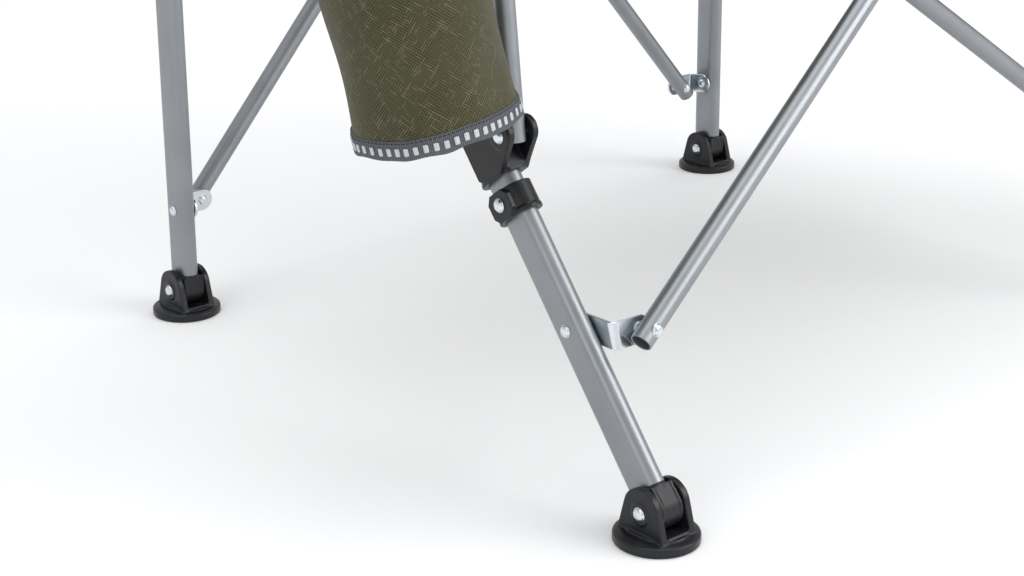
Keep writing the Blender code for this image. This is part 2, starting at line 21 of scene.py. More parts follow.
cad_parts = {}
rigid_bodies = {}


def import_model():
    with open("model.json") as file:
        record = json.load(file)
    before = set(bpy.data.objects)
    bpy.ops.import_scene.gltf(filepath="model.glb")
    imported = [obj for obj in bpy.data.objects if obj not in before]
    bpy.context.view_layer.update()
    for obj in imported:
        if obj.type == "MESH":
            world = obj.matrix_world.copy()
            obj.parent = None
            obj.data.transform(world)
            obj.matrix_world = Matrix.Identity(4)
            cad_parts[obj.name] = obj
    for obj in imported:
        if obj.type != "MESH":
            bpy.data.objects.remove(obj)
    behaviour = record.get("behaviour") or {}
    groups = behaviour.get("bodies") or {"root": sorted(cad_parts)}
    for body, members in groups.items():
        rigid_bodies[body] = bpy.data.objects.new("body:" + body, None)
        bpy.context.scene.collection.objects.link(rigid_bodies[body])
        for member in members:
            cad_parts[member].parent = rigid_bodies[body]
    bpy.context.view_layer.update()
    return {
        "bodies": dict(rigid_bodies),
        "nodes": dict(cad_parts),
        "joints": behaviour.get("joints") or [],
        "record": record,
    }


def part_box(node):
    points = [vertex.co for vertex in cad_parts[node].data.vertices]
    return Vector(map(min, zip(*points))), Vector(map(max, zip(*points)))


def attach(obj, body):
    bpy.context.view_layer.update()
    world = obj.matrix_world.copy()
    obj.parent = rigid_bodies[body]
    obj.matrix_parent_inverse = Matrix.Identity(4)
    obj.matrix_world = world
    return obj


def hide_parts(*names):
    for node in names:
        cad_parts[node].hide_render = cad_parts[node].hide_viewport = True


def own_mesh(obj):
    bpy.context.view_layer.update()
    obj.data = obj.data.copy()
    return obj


LOG = logging.getLogger("camp_chair")
SHARP = math.radians(34.0)
UPRIGHT_LEAN = math.radians(6.0)
CLOTH_UV = "cloth"
Point = tuple[float, float]
Triple = tuple[float, float, float]
Colour = tuple[float, float, float, float]


class Side(Enum):
    """The two sides of the chair, by the sign of their x."""

    LEFT = -1
    RIGHT = 1

    @property
    def label(self) -> str:
        """Start of this side's names."""
        return self.name.lower()


# ---------------------------------------------------------------- node helpers
class Bench:
    """Adds and links the nodes of one tree."""

    def __init__(self, tree: bpy.types.NodeTree) -> None:
        """Keep the tree that the nodes go into."""
        self.tree = tree

    def add(self, kind: str, inputs: dict | None = None, **settings: object) -> bpy.types.Node:
        """Add a node.

        Args:
            kind: The node's class name.
            inputs: Values or output sockets, by input name or number.
            **settings: The node's own properties.

        Returns:
            The new node.
        """
        node = self.tree.nodes.new(kind)
        for key, value in settings.items():
            setattr(node, key, value)
        self.dress(node, inputs or {})
        return node

    def math(self, operation: str, *values: object, clamp: bool = False) -> bpy.types.NodeSocket:
        """Add a Math node and return its output."""
        node = self.add("ShaderNodeMath", dict(enumerate(values)), operation=operation)
        node.use_clamp = clamp
        return node.outputs[0]

    def noise(self, place: object, scale: object, detail: float) -> bpy.types.NodeSocket:
        """Add a noise texture and return its value."""
        node = self.add("ShaderNodeTexNoise", {"Vector": place, "Scale": scale, "Detail": detail})
        return node.outputs["Fac"]

    def spread(self, value: object, low: float, high: float, bottom: float = 0.0, top: float = 1.0
               ) -> bpy.types.NodeSocket:
        """Spread the values between low and high over bottom to top, and return them.

        Args:
            value: The value.
            low: Start of its range.
            high: End of its range.
            bottom: What the start becomes.
            top: What the end becomes.

        Returns:
            The new value, held between the two.
        """
        node = self.add("ShaderNodeMapRange", {"Value": value, "From Min": low, "From Max": high,
                                               "To Min": bottom, "To Max": top})
        return node.outputs["Result"]

    def mix(self, factor: object, first: object, second: object) -> bpy.types.NodeSocket:
        """Mix two colours and return the result."""
        node = self.add("ShaderNodeMix", {0: factor, 6: first, 7: second}, data_type="RGBA")
        return node.outputs[2]

    def group(self, tree: bpy.types.NodeTree, place: object, **values: object) -> bpy.types.Node:
        """Add a shader group that reads a place on the surface, with its own values."""
        return self.add("ShaderNodeGroup", {"Place": place, **values}, node_tree=tree)

    def dress(self, node: bpy.types.Node, values: dict) -> None:
        """Set or link a node's inputs."""
        for key, value in values.items():
            if isinstance(value, bpy.types.NodeSocket):
                self.tree.links.new(value, node.inputs[key])
            else:
                node.inputs[key].default_value = value

    def bump(self, height: object, strength: float, distance: float) -> bpy.types.NodeSocket:
        """Add a Bump node and return its normal."""
        node = self.add("ShaderNodeBump", {"Height": height, "Strength": strength,
                                           "Distance": distance})
        return node.outputs["Normal"]

    def ramp(self, factor: bpy.types.NodeSocket, stops: Sequence[tuple[float, Colour]]
             ) -> bpy.types.NodeSocket:
        """Add a colour ramp and return its colour.

        Args:
            factor: The value that picks the colour.
            stops: Positions and their colours, in order.

        Returns:
            The colour.
        """
        node = self.add("ShaderNodeValToRGB", {"Fac": factor})
        elements = node.color_ramp.elements
        elements[0].position, elements[0].color = stops[0]
        elements[1].position, elements[1].color = stops[-1]
        for position, colour in stops[1:-1]:
            elements.new(position).color = colour
        return node.outputs["Color"]


def shader_group(name: str, inputs: dict[str, float | None], outputs: Sequence[str]
                 ) -> tuple[bpy.types.NodeTree, Bench, bpy.types.Node, bpy.types.Node]:
    """Start a shader node group with named sockets.

    Args:
        name: The group's name.
        inputs: Default of each float input, or None for a vector.
        outputs: Names of the float outputs.

    Returns:
        The group, its bench, its input node and its output node.
    """
    group = bpy.data.node_groups.new(name, "ShaderNodeTree")
    for label, default in inputs.items():
        kind = "NodeSocketVector" if default is None else "NodeSocketFloat"
        socket = group.interface.new_socket(label, in_out="INPUT", socket_type=kind)
        if default is not None:
            socket.default_value = default
    for label in outputs:
        group.interface.new_socket(label, in_out="OUTPUT", socket_type="NodeSocketFloat")
    bench = Bench(group)
    return group, bench, bench.add("NodeGroupInput"), bench.add("NodeGroupOutput")


def grain_group() -> bpy.types.NodeTree:
    """Fine grain with larger cloudy patches, from a place on the surface.

    Returns:
        The group, built once.
    """
    known = bpy.data.node_groups.get("surface_grain")
    if known:
        return known
    group, bench, given, result = shader_group(
        "surface_grain", {"Place": None, "Grain": 900.0, "Cloud": 40.0}, ("Height", "Patches"))
    place = given.outputs["Place"]
    cloud = bench.noise(place, given.outputs["Cloud"], 4.0)
    bench.dress(result, {"Height": bench.noise(place, given.outputs["Grain"], 3.0),
                         "Patches": bench.spread(cloud, 0.35, 0.65)})
    return group


def scuff_group() -> bpy.types.NodeTree:
    """Sparse fine scuffs that run along Z, from a place on the surface.

    Returns:
        The group, built once.
    """
    known = bpy.data.node_groups.get("handling_scuffs")
    if known:
        return known
    group, bench, given, result = shader_group(
        "handling_scuffs", {"Place": None, "Amount": 0.5}, ("Mask",))
    place = given.outputs["Place"]
    drawn = bench.add("ShaderNodeMapping", {"Vector": place, "Scale": (900.0, 900.0, 26.0)})
    thin = bench.spread(bench.noise(drawn.outputs["Vector"], 1.0, 2.0), 0.60, 0.72)
    some = bench.spread(bench.noise(place, 28.0, 3.0), 0.48, 0.66)
    both = bench.math("MULTIPLY", thin, some)
    bench.dress(result, {"Mask": bench.math("MULTIPLY", both, given.outputs["Amount"],
                                            clamp=True)})
    return group


def weave_group() -> bpy.types.NodeTree:
    """Slubbed weave: two crossing sets of ribs that come and go along their run, with painted
    glints dotted on their crests.

    Returns:
        The group, built once.
    """
    known = bpy.data.node_groups.get("slubbed_weave")
    if known:
        return known
    group, bench, given, result = shader_group(
        "slubbed_weave", {"Place": None, "Pitch": 0.0017, "Length": 0.017, "Width": 0.0065},
        ("Height", "Threads", "Weave"))
    level = 0.55
    knot = 0.00027
    yarn = 0.00009
    layers = []
    painted_glints = []
    for turn in (46.0, -44.0):
        way = bench.add("ShaderNodeVectorRotate", {"Vector": given.outputs["Place"],
                                                   "Angle": math.radians(turn)})
        way.rotation_type = "Z_AXIS"
        parts = bench.add("ShaderNodeSeparateXYZ", {"Vector": way.outputs["Vector"]})
        along = bench.math("DIVIDE", parts.outputs["X"], given.outputs["Length"])
        over = bench.math("DIVIDE", parts.outputs["Y"], given.outputs["Width"])
        spot = bench.add("ShaderNodeCombineXYZ", {"X": along, "Y": over, "Z": turn * 0.1})
        shown = bench.spread(bench.noise(spot.outputs["Vector"], 1.0, 2.0), 0.40, 0.60, 0.15)
        number = bench.math("DIVIDE", parts.outputs["Y"], given.outputs["Pitch"])
        rib = bench.math("SINE", bench.math("MULTIPLY", number, 2 * math.pi))
        ridge = bench.math("MULTIPLY_ADD", rib, 0.5, 0.5)
        above = bench.math("SUBTRACT", ridge, level)
        layers.append(bench.math("MULTIPLY_ADD", above, shown, level))
        # Painted glints: light dots on each rib's crest, in slubs that fade along its run, painted
        # as highlights into the colour.
        row = bench.math("MULTIPLY", bench.math("FLOOR", bench.math("ADD", number, 0.25)), 7.13)
        slub = bench.add("ShaderNodeCombineXYZ", {"X": bench.math("MULTIPLY", along, 1.7),
                                                  "Y": row, "Z": turn})
        bright = bench.spread(bench.noise(slub.outputs["Vector"], 1.0, 1.0), 0.56, 0.70)
        knots = bench.math("SINE", bench.math("DIVIDE", parts.outputs["X"], knot))
        dotted = bench.math("MULTIPLY_ADD", knots, 0.4, 0.6)
        thin = bench.math("MULTIPLY", bench.math("POWER", ridge, 3.0), dotted)
        painted_glints.append(bench.math("MULTIPLY", thin, bright))
    sides = bench.add("ShaderNodeSeparateXYZ", {"Vector": given.outputs["Place"]})
    warp = bench.math("SINE", bench.math("DIVIDE", sides.outputs["X"], yarn))
    weft = bench.math("SINE", bench.math("DIVIDE", sides.outputs["Y"], yarn))
    bench.dress(result, {"Height": bench.math("MULTIPLY", bench.math("ADD", *layers), 0.5),
                         "Threads": bench.math("MAXIMUM", *painted_glints),
                         "Weave": bench.math("MULTIPLY", warp, weft)})
    return group


# ---------------------------------------------------------------- finishes
def start_material(name: str) -> tuple[bpy.types.Material, Bench, bpy.types.Node]:
    """Return a new material, its bench and its shader."""
    material = bpy.data.materials.new(name)
    material.use_nodes = True
    return material, Bench(material.node_tree), material.node_tree.nodes["Principled BSDF"]


@dataclass(frozen=True)
class Finish:
    """A surface finish: its material's name and a slot name."""

    name: str
    slot: str

    def material(self) -> bpy.types.Material:
        """The material, made on first use.

        Returns:
            The material.
        """
        known = bpy.data.materials.get(self.name)
        if known:
            return known
        material, bench, shader = start_material(self.name)
        self.surface(bench, shader)
        return material

    def surface(self, bench: Bench, shader: bpy.types.Node) -> None:
        """Dress the shader; each kind of finish has its own way.

        Args:
            bench: The bench of the material's nodes.
            shader: The material's shader.
        """
        raise NotImplementedError


@dataclass(frozen=True)
class HardFinish(Finish):
    """A metal or moulded surface with grain, cloudiness and scuffs."""

    low: Colour
    high: Colour
    scuffed: Colour
    metallic: float
    roughness: Point
    grain: float
    cloud: float
    bump: float
    scuffs: float
    specular: float = 0.5

    def surface(self, bench: Bench, shader: bpy.types.Node) -> None:
        """Cloudy base colour and gloss, with light scuffs and a fine grain.

        Args:
            bench: The bench of the material's nodes.
            shader: The material's shader.
        """
        place = bench.add("ShaderNodeTexCoord").outputs["Object"]
        grain = bench.group(grain_group(), place, Grain=self.grain, Cloud=self.cloud)
        scuff = bench.group(scuff_group(), place, Amount=self.scuffs)
        base = bench.ramp(grain.outputs["Patches"], [(0.0, self.low), (1.0, self.high)])
        bench.dress(shader, {
            "Base Color": bench.mix(scuff.outputs["Mask"], base, self.scuffed),
            "Metallic": self.metallic, "Specular IOR Level": self.specular,
            "Roughness": bench.spread(grain.outputs["Patches"], 0.0, 1.0, *self.roughness),
            "Normal": bench.bump(grain.outputs["Height"], self.bump, 0.0004)})


@dataclass(frozen=True)
class ClothFinish(Finish):
    """Woven polyester with slubs that cross, on a UV map in metres."""

    low: Colour
    high: Colour
    # Colour of the painted glints, a painted highlight on the weave's crests.
    thread: Colour

    def surface(self, bench: Bench, shader: bpy.types.Node) -> None:
        """Colour and relief from the weave, with a little unevenness, painted glints on the ribs'
        crests and a soft sheen.

        Args:
            bench: The bench of the material's nodes.
            shader: The material's shader.
        """
        place = bench.add("ShaderNodeUVMap", uv_map=CLOTH_UV).outputs["UV"]
        weave = bench.group(weave_group(), place)
        grain = bench.group(grain_group(), place, Grain=1400.0, Cloud=22.0)
        height = weave.outputs["Height"]
        shade = bench.math("MULTIPLY_ADD", height, 0.95,
                           bench.math("MULTIPLY", grain.outputs["Patches"], 0.07))
        base = bench.ramp(bench.math("MULTIPLY_ADD", grain.outputs["Height"], 0.3, shade),
                          [(0.30, self.low), (1.0, self.high)])
        relief = bench.math("MULTIPLY_ADD", weave.outputs["Weave"], 0.18, height)
        bench.dress(shader, {
            # Painted highlight: the glint colour is mixed into the base colour on the ribs' crests.
            "Base Color": bench.mix(weave.outputs["Threads"], base, self.thread),
            "Roughness": 0.86, "Specular IOR Level": 0.25, "Sheen Weight": 0.12,
            "Sheen Roughness": 0.5, "Normal": bench.bump(relief, 0.55, 0.0005)})


@dataclass(frozen=True)
class WebbingFinish(Finish):
    """Ribbed woven tape, with its ribs across the first UV direction."""

    low: Colour
    high: Colour
    rib: float = 0.0013

    def surface(self, bench: Bench, shader: bpy.types.Node) -> None:
        """Colour and relief from ribs both ways.

        Args:
            bench: The bench of the material's nodes.
            shader: The material's shader.
        """
        place = bench.add("ShaderNodeUVMap", uv_map=CLOTH_UV).outputs["UV"]
        sides = bench.add("ShaderNodeSeparateXYZ", {"Vector": place})
        across = bench.math("MULTIPLY", sides.outputs["X"], 2 * math.pi / self.rib)
        along = bench.math("MULTIPLY", sides.outputs["Y"], 2 * math.pi / (self.rib * 0.8))
        ribs = bench.math("MULTIPLY_ADD", bench.math("SINE", across), 0.35, 0.5)
        height = bench.math("MULTIPLY_ADD", bench.math("SINE", along), 0.15, ribs)
        grain = bench.group(grain_group(), place)
        shade = bench.math("MULTIPLY_ADD", grain.outputs["Height"], 0.4,
                           bench.math("MULTIPLY", height, 0.7))
        bench.dress(shader, {
            "Base Color": bench.ramp(shade, [(0.1, self.low), (0.95, self.high)]),
            "Roughness": 0.8, "Specular IOR Level": 0.3,
            "Normal": bench.bump(height, 0.85, 0.0005)})


STEEL = HardFinish(
    "grey_coated_steel", "steel", low=(0.265, 0.280, 0.295, 1.0), high=(0.300, 0.315, 0.330, 1.0),
    scuffed=(0.42, 0.44, 0.46, 1.0), metallic=0.82, roughness=(0.35, 0.42), grain=1500.0,
    cloud=24.0, bump=0.10, scuffs=0.10)
ZINC = HardFinish(
    "bright_zinc", "zinc", low=(0.66, 0.71, 0.76, 1.0), high=(0.72, 0.77, 0.81, 1.0),
    scuffed=(0.58, 0.62, 0.66, 1.0), metallic=1.0, roughness=(0.20, 0.27), grain=900.0,
    cloud=70.0, bump=0.05, scuffs=0.18)
PLASTIC = HardFinish(
    "black_moulding", "black_plastic", low=(0.0080, 0.0086, 0.0100, 1.0),
    high=(0.0115, 0.0122, 0.0140, 1.0), scuffed=(0.042, 0.044, 0.048, 1.0), metallic=0.0,
    roughness=(0.30, 0.42), grain=1700.0, cloud=60.0, bump=0.14, scuffs=0.30, specular=0.36)
# The cloth's last colour is a painted highlight for the glints on its ribs.
CLOTH = ClothFinish(
    "olive_hatched_cloth", "olive_fabric", low=(0.019, 0.018, 0.007, 1.0),
    high=(0.104, 0.097, 0.047, 1.0), thread=(0.22, 0.205, 0.135, 1.0))
WEBBING = WebbingFinish(
    "grey_webbing", "olive_fabric", low=(0.030, 0.034, 0.040, 1.0),
    high=(0.175, 0.185, 0.205, 1.0))
DASH = WebbingFinish(
    "white_reflective_thread", "olive_fabric", low=(0.60, 0.62, 0.63, 1.0),
    high=(0.88, 0.90, 0.91, 1.0), rib=0.0006)
THREAD = WebbingFinish(
    "dark_sewing_thread", "olive_fabric", low=(0.020, 0.022, 0.022, 1.0),
    high=(0.050, 0.052, 0.050, 1.0), rib=0.0005)


# ---------------------------------------------------------------- outlines
def arc(centre: Point, radius: float, start: float, end: float, steps: int) -> list[Point]:
    """Points of an arc between two angles in degrees."""
    angles = [math.radians(start + (end - start) * step / steps) for step in range(steps + 1)]
    return [(centre[0] + radius * math.cos(a), centre[1] + radius * math.sin(a)) for a in angles]


def circle(radius: float, steps: int = 40, centre: Point = (0.0, 0.0)) -> list[Point]:
    """Points of a full circle."""
    return arc(centre, radius, 0.0, 360.0, steps)[:-1]


def oval(depth: float, width: float, centre: float = 0.0, steps: int = 14) -> list[Point]:
    """Flat-oval outline in (x, y), long along y."""
    radius = width / 2
    straight = (depth - width) / 2
    front = arc((0.0, centre - straight), radius, 180.0, 360.0, steps)
    return front + arc((0.0, centre + straight), radius, 0.0, 180.0, steps)


def box(x_low: float, x_high: float, y_low: float, y_high: float) -> list[Point]:
    """Plain box outline."""
    return [(x_low, y_low), (x_high, y_low), (x_high, y_high), (x_low, y_high)]


def chamfered(x: float, y: float, cut: float) -> list[Point]:
    """Box outline of two half sizes, with cut corners."""
    return [(x, cut - y), (x, y - cut), (x - cut, y), (cut - x, y), (-x, y - cut), (-x, cut - y),
            (cut - x, -y), (x - cut, -y)]


AXES = {"X": (2, 0, 1), "Y": (0, 2, 1), "Z": (0, 1, 2)}


def ring(outline: Sequence[Point], height: float, axis: str = "Z") -> list[Vector]:
    """Outline at a height: (x, y) along Z, (y, z) along X and (x, z) along Y."""
    order = AXES[axis]
    corners = [(point[0], point[1], height) for point in outline]
    return [Vector([corner[slot] for slot in order]) for corner in corners]


# ---------------------------------------------------------------- meshes
def runs(points: Sequence[Vector]) -> list[float]:
    """How far along a closed run each of its points is, and its whole length."""
    far = [0.0]
    for first, second in zip(points, [*points[1:], points[0]]):
        far.append(far[-1] + (second - first).length)
    return far


class Shape:
    """Points and faces that grow into one mesh, with a place on the cloth for each corner."""

    def __init__(self) -> None:
        """Start empty."""
        self.points: list[Vector] = []
        self.faces: list[tuple[int, ...]] = []
        self.corners: list[Point] = []

    def loft(self, rings: Sequence[Sequence[Vector]], loop: bool = False, caps: bool = True
             ) -> Shape:
        """Add faces through a row of rings.

        Args:
            rings: Rings of as many points each.
            loop: Whether the last ring joins the first.
            caps: Whether the end rings are filled.

        Returns:
            The shape itself.
        """
        start = len(self.points)
        rows = len(rings)
        width = len(rings[0])
        over = runs(rings[rows // 2])
        along = runs([points[0] for points in rings])
        for points in rings:
            self.points.extend(points)
        for row in range(rows if loop else rows - 1):
            for column in range(width):
                quad = ((row, column), (row, column + 1), (row + 1, column + 1), (row + 1, column))
                self.faces.append(tuple(start + (r % rows) * width + c % width for r, c in quad))
                self.corners.extend((over[c], along[r]) for r, c in quad)
        if caps and not loop:
            for first in (start, start + (rows - 1) * width):
                face = tuple(range(first, first + width))
                self.faces.append(face)
                self.corners.extend((self.points[i].x, self.points[i].y) for i in face)
        return self

    def mesh(self) -> bpy.types.Mesh:
        """The closed mesh, welded, with its faces pointing out.

        Returns:
            The mesh.
        """
        mesh = bpy.data.meshes.new("piece")
        mesh.from_pydata([tuple(point) for point in self.points], [], self.faces)
        layer = mesh.uv_layers.new(name=CLOTH_UV)
        layer.data.foreach_set("uv", [value for corner in self.corners for value in corner])
        work = bmesh.new()
        work.from_mesh(mesh)
        bmesh.ops.remove_doubles(work, verts=work.verts, dist=1e-6)
        bmesh.ops.recalc_face_normals(work, faces=work.faces)
        work.to_mesh(mesh)
        work.free()
        return mesh


def prism(outline: Sequence[Point], low: float, high: float, axis: str = "Z") -> bpy.types.Mesh:
    """Closed solid of an outline run along an axis."""
    return Shape().loft([ring(outline, low, axis), ring(outline, high, axis)]).mesh()


def lathe(profile: Sequence[Point], axis: str = "Z", steps: int = 40,
          place: Sequence[float] = (0.0, 0.0, 0.0)) -> bpy.types.Mesh:
    """Closed solid turned about an axis from (radius, height) points."""
    rings = [ring(circle(max(radius, 1e-9), steps), height, axis) for radius, height in profile]
    mesh = Shape().loft(rings, caps=False).mesh()
    mesh.transform(Matrix.Translation(place))
    return mesh


def rod(radius: float, half: float, axis: str = "X", place: Sequence[float] = (0.0, 0.0, 0.0)
        ) -> bpy.types.Mesh:
    """Plain round solid through a place."""
    return lathe([(0.0, -half), (radius, -half), (radius, half), (0.0, half)], axis, 32, place)


def tube(outline: Callable[[float], list[Point]], low: float, high: float, wall: float,
         axis: str = "Z", edge: float = 0.0003) -> bpy.types.Mesh:
    """Tube with open ends whose rims are eased.

    Args:
        outline: Gives the outline taken in by a distance.
        low: Where the tube starts.
        high: Where it ends.
        wall: Its wall thickness.
        axis: The way it runs.
        edge: How far its rims are eased.

    Returns:
        The mesh.
    """
    stations = [(0.0, low + edge), (0.0, high - edge), (edge, high), (wall - edge, high),
                (wall, high - edge), (wall, low + edge), (wall - edge, low), (edge, low)]
    return Shape().loft([ring(outline(inset), height, axis) for inset, height in stations],
                        loop=True).mesh()


def joined(*meshes: bpy.types.Mesh) -> bpy.types.Mesh:
    """One mesh of several separate shells."""
    work = bmesh.new()
    for mesh in meshes:
        work.from_mesh(mesh)
    result = bpy.data.meshes.new("piece")
    work.to_mesh(result)
    work.free()
    return result


def leaned(mesh: bpy.types.Mesh, lean: float, place: Sequence[float]) -> bpy.types.Mesh:
    """Turn a mesh back about the X axis through a place, and return it."""
    mesh.transform(framed(place, lean) @ Matrix.Translation(-Vector(place)))
    return mesh


def raised(mesh: bpy.types.Mesh, height: float) -> bpy.types.Mesh:
    """A copy of a mesh, moved up."""
    copy = mesh.copy()
    copy.transform(Matrix.Translation((0.0, 0.0, height)))
    return copy


def workpiece(name: str, mesh: bpy.types.Mesh) -> bpy.types.Object:
    """Object in the scene that only carries modifiers while a piece is made."""
    item = bpy.data.objects.new(name, mesh)
    bpy.context.scene.collection.objects.link(item)
    return item


def baked(item: bpy.types.Object, *tools: bpy.types.Object) -> bpy.types.Mesh:
    """Plain mesh of a workpiece with its modifiers applied; it and its tools are removed."""
    graph = bpy.context.evaluated_depsgraph_get()
    mesh = bpy.data.meshes.new_from_object(item.evaluated_get(graph), depsgraph=graph)
    for used in (item, *tools):
        bpy.data.objects.remove(used)
    return mesh


def moulded(adds: Sequence[bpy.types.Mesh], cuts: Sequence[bpy.types.Mesh] = (),
            cell: float = 0.0007, rounds: int = 6) -> bpy.types.Mesh:
    """Join and cut shapes, then ease every edge as a moulding's edges are eased.

    Args:
        adds: Shapes that make up the piece.
        cuts: Shapes taken out of it.
        cell: Size of the surface's mesh.
        rounds: How often the surface is evened out.

    Returns:
        One closed smooth mesh.
    """
    items = [workpiece("blank", mesh) for mesh in [*adds, *cuts]]
    for number, tool in enumerate(items[1:], 1):
        step = items[0].modifiers.new("shape", "BOOLEAN")
        step.operation = "UNION" if number < len(adds) else "DIFFERENCE"
        step.object = tool
        step.solver = "EXACT"
        tool.hide_render = True
    remesh = items[0].modifiers.new("even", "REMESH")
    remesh.mode = "VOXEL"
    remesh.voxel_size = cell
    ease = items[0].modifiers.new("ease", "SMOOTH")
    ease.factor = 0.5
    ease.iterations = rounds
    return baked(*items)


def framed(place: Sequence[float], lean: float = 0.0, turn: float = 0.0) -> Matrix:
    """Frame at a place, leaned back about X and then turned about its own Y."""
    tilt = Matrix.Rotation(-lean, 4, "X") @ Matrix.Rotation(turn, 4, "Y")
    return Matrix.Translation(place) @ tilt


def add_piece(name: str, mesh: bpy.types.Mesh, finish: Finish, body: str,
              frame: Matrix | None = None, side: Side = Side.RIGHT,
              nodes: Sequence[str] = ()) -> bpy.types.Object:
    """Put a finished piece in the scene.

    Args:
        name: The piece's name.
        mesh: Its mesh in its frame, drawn for the right side; it is copied.
        finish: Its finish.
        body: The body that it moves with.
        frame: Where its frame stands.
        side: The side that it is for.
        nodes: The nodes that it stands for.

    Returns:
        The new object.
    """
    own = mesh.copy()
    own.name = name
    if side is Side.LEFT:
        own.transform(Matrix.Scale(-1.0, 4, (1.0, 0.0, 0.0)))
        own.flip_normals()
    own.transform(frame or Matrix.Identity(4))
    own.shade_smooth()
    own.set_sharp_from_angle(angle=SHARP)
    own.materials.clear()
    own.materials.append(finish.material())
    item = bpy.data.objects.new(name, own)
    bpy.context.scene.collection.objects.link(item)
    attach(item, body)
    if nodes:
        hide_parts(*nodes)
    LOG.info("%s: %d faces on %s", name, len(own.polygons), body)
    return item


# ---------------------------------------------------------------- repeated small pieces
@dataclass(frozen=True)
class Spot:
    """A place on a surface, the way out of it and the way along it."""

    place: Vector
    out: Vector
    along: Vector
    size: float = 1.0


SPOT_VALUES = {"out": "FLOAT_VECTOR", "along": "FLOAT_VECTOR", "size": "FLOAT"}


class Repeat:
    """Sets copies of one small piece at spots, with Geometry Nodes."""

    def __init__(self) -> None:
        """Build the tree with its named inputs."""
        tree = bpy.data.node_groups.new("small_pieces_at_spots", "GeometryNodeTree")
        face = tree.interface
        for label, kind in (("Spots", "NodeSocketGeometry"), ("Small Piece", "NodeSocketObject"),
                            ("Size", "NodeSocketFloat"), ("Finish", "NodeSocketMaterial")):
            face.new_socket(label, in_out="INPUT", socket_type=kind)
        face.new_socket("Geometry", in_out="OUTPUT", socket_type="NodeSocketGeometry")
        bench = Bench(tree)
        given = bench.add("NodeGroupInput")
        source = bench.add("GeometryNodeObjectInfo", {"Object": given.outputs["Small Piece"]})
        out, along, size = (
            bench.add("GeometryNodeInputNamedAttribute", {"Name": label},
                      data_type=kind).outputs["Attribute"] for label, kind in SPOT_VALUES.items())
        turn = bench.add("FunctionNodeAxesToRotation", {0: out, 1: along}, primary_axis="Z",
                         secondary_axis="X")
        scale = bench.math("MULTIPLY", size, given.outputs["Size"])
        copies = bench.add("GeometryNodeInstanceOnPoints", {
            "Points": given.outputs["Spots"], "Instance": source.outputs["Geometry"],
            "Rotation": turn.outputs["Rotation"], "Scale": scale})
        real = bench.add("GeometryNodeRealizeInstances", {"Geometry": copies.outputs["Instances"]})
        dressed = bench.add("GeometryNodeSetMaterial", {"Geometry": real.outputs["Geometry"],
                                                        "Material": given.outputs["Finish"]})
        bench.add("NodeGroupOutput", {"Geometry": dressed.outputs["Geometry"]})
        self.tree = tree

    def mesh(self, spots: Sequence[Spot], small: bpy.types.Mesh, finish: Finish,
             size: float = 1.0) -> bpy.types.Mesh:
        """Plain mesh of a small piece at every spot.

        Args:
            spots: Where the copies go.
            small: The small piece, standing on its origin along Z.
            finish: Its finish.
            size: Scale of every copy.

        Returns:
            One mesh of all the copies.
        """
        base = bpy.data.meshes.new("spots")
        base.from_pydata([tuple(spot.place) for spot in spots], [], [])
        for label, kind in SPOT_VALUES.items():
            stored = base.attributes.new(label, kind, "POINT").data
            for item, spot in zip(stored, spots):
                setattr(item, "value" if kind == "FLOAT" else "vector", getattr(spot, label))
        holder = workpiece("spots", base)
        pattern = workpiece("small_piece", small)
        step = holder.modifiers.new("copies", "NODES")
        step.node_group = self.tree
        values = {"Small Piece": pattern, "Size": size, "Finish": finish.material()}
        for socket in self.tree.interface.items_tree:
            if socket.item_type == "SOCKET" and socket.in_out == "INPUT" and socket.name in values:
                step[socket.identifier] = values[socket.name]
        return baked(holder, pattern)


def rivet_head() -> bpy.types.Mesh:
    """Domed rivet head that stands on its origin, with a lip under the dome.

    Returns:
        The mesh.
    """
    dome = 0.0047
    foot = 0.0010
    rise = 0.0019
    profile = [(0.0, -0.0004), (0.0050, -0.0004), (0.0053, 0.0001), (0.0053, 0.0005),
               (0.0049, 0.0007), (dome, foot)]
    for angle in range(12, 90, 13):
        turn = math.radians(angle)
        profile.append((dome * math.cos(turn), foot + rise * math.sin(turn)))
    return lathe(profile + [(0.0, foot + rise)], steps=28)


def thread_bead(length: float, radius: float) -> bpy.types.Mesh:
    """One stitch: a low capsule along X that sinks a little into the cloth."""
    stations = [(-0.5, 0.15), (-0.38, 0.85), (0.0, 1.0), (0.38, 0.85), (0.5, 0.15)]
    rings = []
    for share, swell in stations:
        points = circle(radius * swell, 6)
        rings.append([Vector((share * length, p[0], p[1] * 0.8 + radius * 0.2 * swell))
                      for p in points])
    return Shape().loft(rings).mesh()


def dash_pad(width: float, height: float, thick: float) -> bpy.types.Mesh:
    """One woven dash: a low pad with eased corners.

    Args:
        width: Its size along x.
        height: Its size along y.
        thick: How far it stands up.

    Returns:
        The mesh.
    """
    levels = ((0.0002, -0.0002), (0.0, thick * 0.6), (0.0005, thick))
    rings = [ring(chamfered(width / 2 - inset, height / 2 - inset, 0.0006), level)
             for inset, level in levels]
    return Shape().loft(rings).mesh()


def rivet(place: Sequence[float], out: Sequence[float], size: float = 1.0) -> Spot:
    """A rivet head's spot."""
    way = Vector(out)
    along = Vector((0.0, 0.0, 1.0)) if abs(way.z) < 0.9 else Vector((1.0, 0.0, 0.0))
    return Spot(Vector(place), way, along, size)


# ---------------------------------------------------------------- places from the frame
class Places:
    """Pivot places, read from the frame's joints."""

    def __init__(self, frame: dict) -> None:
        """Keep each joint's place."""
        self.spots = {joint["name"]: Vector(joint["pos_m"]) for joint in frame["joints"]
                      if joint.get("pos_m")}

    def spot(self, side: Side, joint: str) -> Vector:
        """Place of one side's joint."""
        return self.spots[f"{side.label}_{joint}"].copy()


